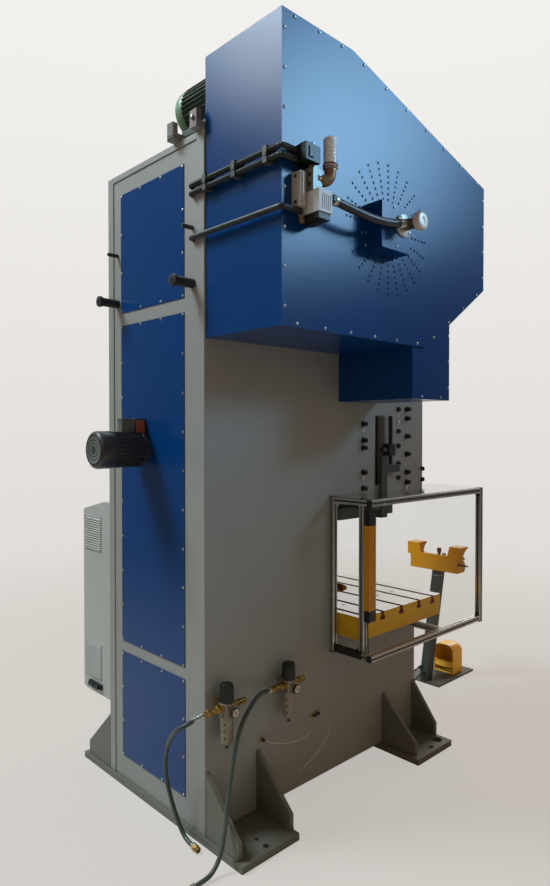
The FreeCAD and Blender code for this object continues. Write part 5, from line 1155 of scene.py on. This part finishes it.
clear_sheet = bpy.data.materials.new("clear_sheet")
clear_sheet.use_nodes = True
sheet = clear_sheet.node_tree
sheet.nodes.remove(sheet.nodes["Principled BSDF"])
sheet_through = added(sheet, "BsdfTransparent", {"Color": (0.965, 0.972, 0.968)})
sheet_gloss = added(sheet, "BsdfGlossy", {"Roughness": 0.06, "Color": (0.85, 0.85, 0.85)})
sheet_edge = calculated(sheet, "POWER", added(sheet, "LayerWeight", {}).outputs["Facing"], 5.0)
sheet_smear = noise(sheet, object_place(sheet), 4.0, 4.0, 0.6)
sheet_share = calculated(
    sheet, "MULTIPLY", mapped(sheet, sheet_edge, 0.0, 1.0, 0.03, 0.8),
    mapped(sheet, sheet_smear, 0.3, 0.7, 0.45, 0.8),
)
sheet_mix = two_shaders(sheet, sheet_share, sheet_through, sheet_gloss)
fed(sheet.nodes["Material Output"], {"Surface": sheet_mix.outputs[0]})
softened("guard_sheets", clear_sheet, 0.4, 1)


# ---- Light curtains ----
# Amber-painted extrusions with fine grooves and black ribbed end caps, one against each guard's corner
# post; the lead runs down beside the post.

amber = finish(
    "amber", (0.62, 0.26, 0.006), 0.36, dust=0.08, grain=600, depth=0.15, dust_colour=(0.3, 0.15, 0.03),
    shine=0.4,
)
curtain_x, curtain_half = -599.5, 17.5
curtain_side = [(-3, -766), (0, -768.5)]
for groove in (-783, -799):
    curtain_side += [(0, groove + 2.5), (-2.5, groove + 1.5), (-2.5, groove - 1.5), (0, groove - 2.5)]
curtain_side = np.array(curtain_side + [(0, -812.5), (-3, -815.7)]) + [curtain_half, 0]
curtain_outline = np.vstack([curtain_side, curtain_side[::-1] * [-1, 1]]) + [curtain_x, 0]
caps = [block(-608, -581, -800, -774, 1300, 1338)]
body_low, body_high, rib_half = 851.0, 1245.0, 2.4
for low, high in ((798.0, body_low), (body_high, 1300.0)):
    caps.append(block(-615.5, -583.5, -814, -767.5, low, high))
    caps += [
        block(-617, -582, -815.5, -766, z - rib_half, z + rib_half)
        for z in np.linspace(low + 5, high - 5, 5)
    ]
lead_line = [(-600, -770, 799), (-602, -770, 780), (-606, -768, 755), (-607, -768, 700), (-607, -768, 654)]
caps.append(carried(round_section * 2.6, lead_line, up=(0, 1, 0)))
for side, turn, node in (("left", same, "light_curtains"), ("right", mirrored, None)):
    body = turn(prism(curtain_outline, body_low, body_high, "z"))
    piece("curtain_body_" + side, [body], amber, bevel=0.5, node=node)
    piece("curtain_caps_" + side, [turn(skin) for skin in caps], strip_black, bevel=0.5)


# ---- Air filter-regulators ----
# Cast bodies with a ribbed black knob above and a windowed bowl guard below, brass pipe fittings along
# the machine, a pressed ferrule on each hose and a small round gauge.

regulator_cast = finish("regulator_cast", (0.24, 0.205, 0.150), 0.42, dust=0.35, grain=450, depth=0.35)
bowl_dark = finish("bowl_dark", (0.020, 0.020, 0.017), 0.2, dust=0.1, grain=600, depth=0.1, coat=0.4)
knob_black = finish("knob_black", (0.010, 0.012, 0.010), 0.5, dust=0.08, grain=500, depth=0.2)
brass = finish("brass", (0.42, 0.235, 0.050), 0.3, metallic=0.9, dust=0.2, grain=700, depth=0.2)
ferrule_steel = finish(
    "ferrule_steel", (0.70, 0.68, 0.62), 0.25, metallic=0.9, dust=0.1, grain=800, depth=0.1
)
dial_cream = finish("dial_cream", (0.50, 0.42, 0.36), 0.35, dust=0.1, grain=800, depth=0.05, coat=0.5)
air_x, pipe_z, gauge_z = -431, 561.0, 543
body_outline = np.array(
    [(-24, -18), (-18, -24), (18, -24), (24, -18), (24, 18), (18, 24), (-18, 24), (-24, 18)]
)
ferrule_profile = [
    (-46, 11), (-44, 13.2), (-36, 13.2), (-35, 12), (-31, 12), (-30, 13.2), (-21, 13.2), (-20, 12), (-16, 12),
    (-15, 13.2), (-6, 13.2), (-5, 12), (-3, 12), (-2, 13.2), (3, 13.2), (4, 10.5),
]
bezel_profile = [(0, 17), (2, 20), (11, 20), (12.5, 19), (12.5, 17.6), (11.4, 17.4)]
bowl_profile = [(0, 25), (4, 29), (10, 29), (12, 27.5), (108, 26.5), (117, 24), (123, 17), (124, 9)]


def line_of(route):
    """Start of a route and its first direction."""
    start = np.array(route[0], float)
    return start, direction(*(np.array(route[1]) - start))


def regulator_skins(y, route):
    """Skins of one regulator with its fittings, each with the number of its finish."""
    start, run = line_of(route)
    gauge_y = y - 12

    def pipe(profile, step, sides, way=1):
        return turned(profile, (air_x, y + step, pipe_z), (0, way, 0), sides), 1

    def gauge(profile, step, sides, number, side_y=gauge_y, z=gauge_z):
        return turned(profile, (air_x + step, side_y, z), (-1, 0, 0), sides), number

    needle = [(gauge_y - 1.2, 538), (gauge_y + 1.2, 538), (gauge_y + 6.5, 556), (gauge_y + 5.5, 556.6)]
    return [
        (prism(body_outline + [air_x, y], 526, 574, "z"), 0),
        (turned([(0, 29), (3, 30), (6, 30), (7, 26)], (air_x, y, 573), (0, 0, 1), 32), 0),
        (block(air_x + 22, -plate_face, y - 12, y + 12, 530, 572), 0),
        (block(-384, -379.5, y - 26, y + 26, 520, 582), 0),
        pipe([(0, 17), (3, 18.5), (9, 18.5), (11, 16)], 23, 6),
        pipe([(0, 17), (2, 17.5), (16, 17.5), (18, 15)], 38, 6),
        pipe([(-6, 11), (20, 11), (21, 13.5), (30, 13.5), (31, 10), (44, 10)], 56, 20),
        pipe([(0, 15), (2, 15.5), (12, 15.5), (14, 13)], 88, 6),
        pipe([(0, 10), (20, 10)], 100, 20),
        (turned(ferrule_profile, start, run, 24), 2),
        pipe([(0, 15), (2, 15.5), (14, 15.5), (16, 13)], -23, 6, -1),
        pipe([(0, 11), (22, 11), (23, 14), (36, 14), (38, 12), (60, 12), (61, 9)], -38, 20, -1),
        gauge([(0, 7), (14, 7)], -22, 8, 1),
        gauge(bezel_profile, -33, 32, 3),
        gauge([(0, 17.5), (1.0, 17.4)], -44.2, 32, 4),
        (prism(needle, air_x - 45.2, air_x - 46.0, "x"), 3),
        gauge([(0, 3), (1.6, 2.6)], -45, 16, 3),
        (turned([(0, 4), (0.9, 4)], (air_x - 8, y + 24, 538), (0, 1, 0), 12), 3),
        gauge([(0, 3.5), (0.9, 3.5)], -24, 12, 3, y + 8, 565),
    ]


def bowl_skins(y):
    """Bowl guard of one regulator with three oval windows on each of its four sides, and its drain."""
    skins = [(turned(bowl_profile, (air_x, y, 530), (0, 0, -1), 40), 0)]
    for side in np.arange(4) * np.pi / 2 + 0.5:
        heading = np.array([-np.cos(side), -np.sin(side), 0.0])
        sideways = np.array([np.sin(side), -np.cos(side), 0.0])
        ring = circle_of(16) @ np.array([3.6 * sideways, (0, 0, 6.6)])
        for z in (496.0, 468.0, 440.0):
            rim = np.array([air_x, y, z]) + 26.2 * heading
            skins.append((grid_skin(np.stack([rim + ring, rim + 1.5 * heading + ring * 0.92])), 1))
    drain = [(0, 9), (6, 9), (7, 7), (15, 7), (16, 5)]
    skins.append((turned(drain, (air_x, y, 406), (0, 0, -1), 12), 2))
    return skins + [(turned([(0, 27), (3, 28.5), (6, 28.5), (7, 27)], (air_x, y, 524), (0, 0, -1), 40), 0)]


def place_skins(name, numbered, finishes, node=None, bevel=0.6):
    """Piece whose skins each carry the number of their finish."""
    surfaces = [finishes[number] for _, number in numbered]
    piece(name, [skin for skin, _ in numbered], surfaces, bevel=bevel, node=node)


air_finishes = [regulator_cast, brass, ferrule_steel, knob_black, dial_cream]
bowl_finishes = [regulator_cast, bowl_dark, knob_black]
grip = circle_of(72) * np.tile([1.0, 1.0, 0.94, 0.94], 18)[:, None]
grip_stations = [(587, 29), (592, 30), (640, 28.5), (650, 27.5), (655, 24)]
for side, y, route in (("rear", -72.0, rear_route), ("front", -427.0, front_route)):
    body_node, bowl_node = ("regulator_bodies", "regulator_bowls") if side == "rear" else (None, None)
    place_skins("regulator_" + side, regulator_skins(y, route), air_finishes, body_node)
    place_skins("bowl_guard_" + side, bowl_skins(y), bowl_finishes, bowl_node, 0.4)
    grip_line = [(air_x, y, z) for z, _ in grip_stations]
    knob = [
        turned([(0, 23), (2, 25), (7, 25), (8, 22)], (air_x, y, 580.4), (0, 0, 1), 40),
        carried(grip, grip_line, up=(0, 1, 0), sizes=[radius for _, radius in grip_stations]),
        turned([(0, 22), (1.5, 21), (2, 12)], (air_x, y, 654), (0, 0, 1), 32),
    ]
    knob_node = "regulator_knob_" + side
    piece("pressure_knob_" + side, knob, knob_black, body="knob_" + side, bevel=0.4, node=knob_node)


# ---- Couplings and thin-tube fittings ----
# Brass quick couplings on the floor ends of the hoses, and push-in fittings where the thin clear tubes
# enter the side plate.

socket_profile = [(0, 11), (2, 13), (9, 13), (10, 11), (12, 11), (13, 12.6), (16, 12.6), (17, 8), (12, 7)]
coupling_skins, fitting_skins = [], []
for route in (rear_route, front_route):
    end, back = line_of(route[::-1])
    coupling_skins += [
        (turned([(-4, 10.5), (-3, 13.4), (10, 13.4), (11, 12)], end, -back, 24), 1),
        (turned([(0, 13.8), (12, 13.8)], end - 11 * back, -back, 6), 0),
        (turned(socket_profile, end - 22 * back, -back, 24), 0),
    ]
place_skins("hose_coupling_set", coupling_skins, [brass, ferrule_steel], "hose_couplings", 0.5)
for route in (drain_route, drip_route, drip_route[::-1]):
    start, run = line_of(route)
    root = (-plate_face, start[1], start[2])
    fitting_skins += [
        (turned([(0, 10), (6, 10), (7, 9), (12, 9)], root, (-1, 0, 0), 6), 0),
        (turned([(-9, 6.5), (0, 6.5), (1, 5.2), (3, 5.2)], start, run, 16), 1),
    ]
place_skins("tube_fittings", fitting_skins, [brass, knob_black], None, 0.4)


# ---- Control cabinet ----
# Folded sheet cabinet in light grey with two louvred vents in its rear wall, a hinged door with rotary
# isolator on its outer side and a black connector plate low on the rear wall.

cabinet_grey = finish(
    "cabinet_grey", (0.40, 0.425, 0.420), 0.42, dust=0.2, variation=0.05, grain=500, depth=0.2
)
softened("cabinet", cabinet_grey, 1.2)
softened("cabinet_door", cabinet_grey, 2.0)
softened("isolator_knob", knob_black, 1.5)
vent_height, bar = 178.0, 5
vent_left, vent_right = 513, 683
vent_frames = []
for low in (412.0, 1066.0):
    high = low + vent_height
    vent_frames += [
        block(x0, x1, -30.5, -27.5, z0, z1)
        for x0, x1, z0, z1 in (
            (vent_left, vent_right, low, low + bar), (vent_left, vent_right, high - bar, high),
            (vent_left, vent_left + bar, low, high), (vent_right - bar, vent_right, low, high),
        )
    ]
piece("vent_frames", vent_frames, cabinet_grey, bevel=0.8)
connectors = [block(506, 629, -30.5, -16, 367, 394)]
connectors += [block(x, x + 45, -18, -6, 371, 390) for x in (520, 572)]
piece("connector_plate", connectors, knob_black, bevel=1.5)


# ---- Control stand ----
# Dark green column leaning over its grey base plate, with cable glands low on the rear side and a pale
# seam under the console.

stand_grey = finish("stand_grey", (0.085, 0.083, 0.068), 0.55, dust=0.4, grain=300, depth=0.4)
column_green = finish("column_green", (0.022, 0.036, 0.032), 0.42, dust=0.25, grain=380, depth=0.35)
seam_pale = finish("seam_pale", (0.42, 0.42, 0.40), 0.4, dust=0.1)


def stand_finish(centres, normals):
    """Base plate grey, column green, glands black."""
    gland = (centres[:, 2] > 14) & (centres[:, 2] < 110) & (centres[:, 1] > -2113)
    return np.where(centres[:, 2] < 12.6, 0, np.where(gland, 2, 1))


softened("stand", [stand_grey, column_green, knob_black], 2.0, choose=stand_finish)
column_x, column_top_y, column_top = -15, -2300, 732
column_lean, column_rise = 154, 720
seam_y = column_top_y + column_lean * (column_top - 695) / column_rise
seam = block(column_x - 30.6, column_x + 30.6, seam_y - 32.6, seam_y + 32.6, 693.4, 696.6)
piece("column_seam", [seam], seam_pale)


# ---- Two-hand console ----
# Amber moulded housing: a deck with the stop and reset buttons between two shrouds, each open towards the
# operator over its palm button.

console_amber = finish(
    "console_amber", (0.74, 0.31, 0.002), 0.36, dust=0.05, grain=350, depth=0.3, coat=0.1,
    dust_colour=(0.4, 0.2, 0.03), shine=0.35,
)
softened("console", console_amber, 4.0, 4)
gland = [(0, 9), (3, 9), (4, 7), (12, 7), (13, 6), (60, 6), (66, 5), (68, 3)]
piece("console_gland", [turned(gland, (-187, -2266, 790), (-1, 0, 0), 16)], knob_black, bevel=0.5)
button_green = finish("button_green", (0.012, 0.10, 0.035), 0.32, dust=0.1, grain=500, depth=0.1)
button_red = finish("button_red", (0.20, 0.018, 0.012), 0.35, dust=0.1, grain=500, depth=0.1)
for node, surface in (
    ("palm_button_left", button_green), ("palm_button_right", button_green), ("stop_button", button_red),
):
    softened(node, surface, 3.0, 4)
softened("reset_button", screw_steel, 1.5, 3)


# ---- Foot pedal ----
# Domed amber hood over a black tread, open to the rear above a rounded guard flap.

arch_turn = np.linspace(0, np.pi, 15)
arch = 52 * np.stack([np.cos(arch_turn), np.sin(arch_turn)], axis=-1)
hood_outline = np.vstack([
    [(75, -100), (75, -20)], arch[:8] + [23, 62], arch[7:] + [-23, 62], [(-75, -20), (-75, -100), (0, -100)],
])
hood_x, hood_floor, hood_wall = -30, 12, 5.0


def hood_row(y, size, height, thin=0.0):
    """One outline of the hood at a distance along it, drawn in by its wall."""
    row = hood_outline * [1 - thin / 75, 1 - thin / 114]
    z = np.maximum(hood_floor + (row[:, 1] + 100) * height + thin * 0.6, hood_floor + thin)
    return np.stack([hood_x + row[:, 0] * size, np.full(len(row), y), z], axis=-1)


hood_stations = [
    (-2483, 0.30, 0.38), (-2482, 0.62, 0.64), (-2477, 0.82, 0.78), (-2467, 0.93, 0.865),
    (-2452, 0.985, 0.90), (-2425, 1.0, 0.925), (-2385, 1.0, 0.925), (-2342, 0.985, 0.911),
]
rows = [hood_row(*station) for station in hood_stations]
rows += [
    hood_row(y + (hood_wall if y < -2345 else 0), size, height, hood_wall)
    for y, size, height in hood_stations[::-1]
]
# The hood's amber is brighter than the console's: painted light, standing in for light the hood lacks where
# it sits in shade.
hood_amber_painted_light = finish(
    "hood_amber_painted_light", (1.0, 0.55, 0.05), 0.34, dust=0.05, grain=350, depth=0.2, coat=0.15,
    dust_colour=(0.4, 0.2, 0.03), shine=0.4,
)
flap_turn = np.linspace(-1, 1, 13)
flap_line = np.stack([hood_x + 71 * flap_turn, -2350 + 19 * (1 - flap_turn**4), np.full(13, 76.5)], axis=-1)
flap_section = [
    (-3, -21), (2.5, -21), (6, -14), (6.5, 0), (6, 14), (2.5, 21), (-3, 21), (0, 14), (0.5, 0), (0, -14),
]
piece("pedal_dome", [grid_skin(np.stack(rows))], hood_amber_painted_light, node="pedal_hood")
flap_skins = [carried(flap_section, flap_line), block(-98, 38, -2375, -2343, 12, 20)]
piece("pedal_flap", flap_skins, hood_amber_painted_light, bevel=1.5)
pedal_black = finish("pedal_black", (0.016, 0.016, 0.016), 0.5, dust=0.3, grain=400, depth=0.4)
softened("pedal", pedal_black, 1.5)


# ---- Floor and light ----
# A plain pale floor that fades into pale surroundings. A large soft lamp high above the rear gives the
# main light and its downward shadows, two weak lamps are what the cover's rear and side faces mirror, and
# a fill stands in front. The surroundings are bright ahead of the camera and dim behind it.

floor_mesh = bpy.data.meshes.new("floor")
floor_mesh.from_pydata([(-60, -60, 0), (60, -60, 0), (60, 60, 0), (-60, 60, 0)], [], [(0, 1, 2, 3)])
floor = placed(bpy.data.objects.new("floor", floor_mesh))
floor_paint = plain_material("floor_paint", (0.62, 0.592, 0.558), 0.9)
tree = floor_paint.node_tree
floor_seen = added(tree, "LightPath", {}).outputs["Is Camera Ray"]
floor_pale = added(tree, "Emission", {"Color": (0.69, 0.655, 0.62)})
floor_blend = two_shaders(
    tree, mapped(tree, floor_seen, 0.0, 1.0, 0.0, 0.70), tree.nodes["Principled BSDF"], floor_pale
)
floor_reach = added(tree, "VectorMath", {0: object_place(tree)}, "LENGTH").outputs["Value"]
floor_fade = two_shaders(
    tree, mapped(tree, floor_reach, 2.2, 6.0, 0.0, 1.0), floor_blend, added(tree, "BsdfTransparent", {})
)
fed(tree.nodes["Material Output"], {"Surface": floor_fade.outputs[0]})
floor_mesh.materials.append(floor_paint)


def soft_lamp(name, place, aim, size, power, colour, spread=180.0):
    """Square area lamp that faces a point and spreads its light over an angle in degrees."""
    lamp = bpy.data.lights.new(name, "AREA")
    lamp.size = size
    lamp.energy = power
    lamp.color = colour
    lamp.spread = math.radians(spread)
    holder = placed(bpy.data.objects.new(name, lamp))
    holder.location = place
    holder.rotation_euler = (Vector(aim) - Vector(place)).to_track_quat("-Z", "Y").to_euler()


soft_lamp("main_lamp", (4.2, 5.6, 10.2), (0.0, 0.4, 1.4), 3.2, 1100, (0.76, 0.94, 1.0))
soft_lamp("rear_sheen_lamp", (3.6, 5.2, 6.9), (-0.7, 1.1, 3.1), 1.9, 8, (0.80, 0.92, 1.0), 45.0)
soft_lamp("side_sheen_lamp", (-3.74, -2.59, 4.9), (-0.75, 0.35, 3.15), 2.4, 12, (0.36, 0.68, 1.0), 30.0)
soft_lamp("front_fill", (1.5, -6.5, 4.2), (0.0, -0.6, 1.0), 3.0, 110, (1.0, 0.98, 0.95))

world = bpy.data.worlds.new("surroundings")
bpy.context.scene.world = world
world.use_nodes = True
sky = world.node_tree
sky_place = added(sky, "TexCoord", {}).outputs["Generated"]
sky_height = mapped(sky, added(sky, "SeparateXYZ", {0: sky_place}).outputs["Z"], -0.5, 0.5, 0.0, 1.0)
sky_colour = mixed(sky, sky_height, (0.68, 0.645, 0.61), (0.885, 0.87, 0.84))
sky_ahead = added(sky, "VectorMath", {0: sky_place, 1: camera_heading}, "DOT_PRODUCT").outputs["Value"]
rays = added(sky, "LightPath", {}).outputs
sky_strength = calculated(
    sky, "MAXIMUM", rays["Is Camera Ray"], mapped(sky, sky_ahead, 0.25, 0.8, 0.10, 1.0)
)
sky_shown = calculated(sky, "MAXIMUM", rays["Is Glossy Ray"], rays["Is Transmission Ray"])
sky_shown = calculated(sky, "MAXIMUM", sky_shown, rays["Is Camera Ray"])
sky_backdrop = fed(sky.nodes["Background"], {"Color": sky_colour, "Strength": sky_strength})
sky_light = added(sky, "Background", {"Color": (1.0, 0.72, 0.49), "Strength": 0.32})
sky_mix = two_shaders(sky, sky_shown, sky_light, sky_backdrop)
fed(sky.nodes["World Output"], {"Surface": sky_mix.outputs[0]})

bpy.context.scene.view_settings.view_transform = "Standard"
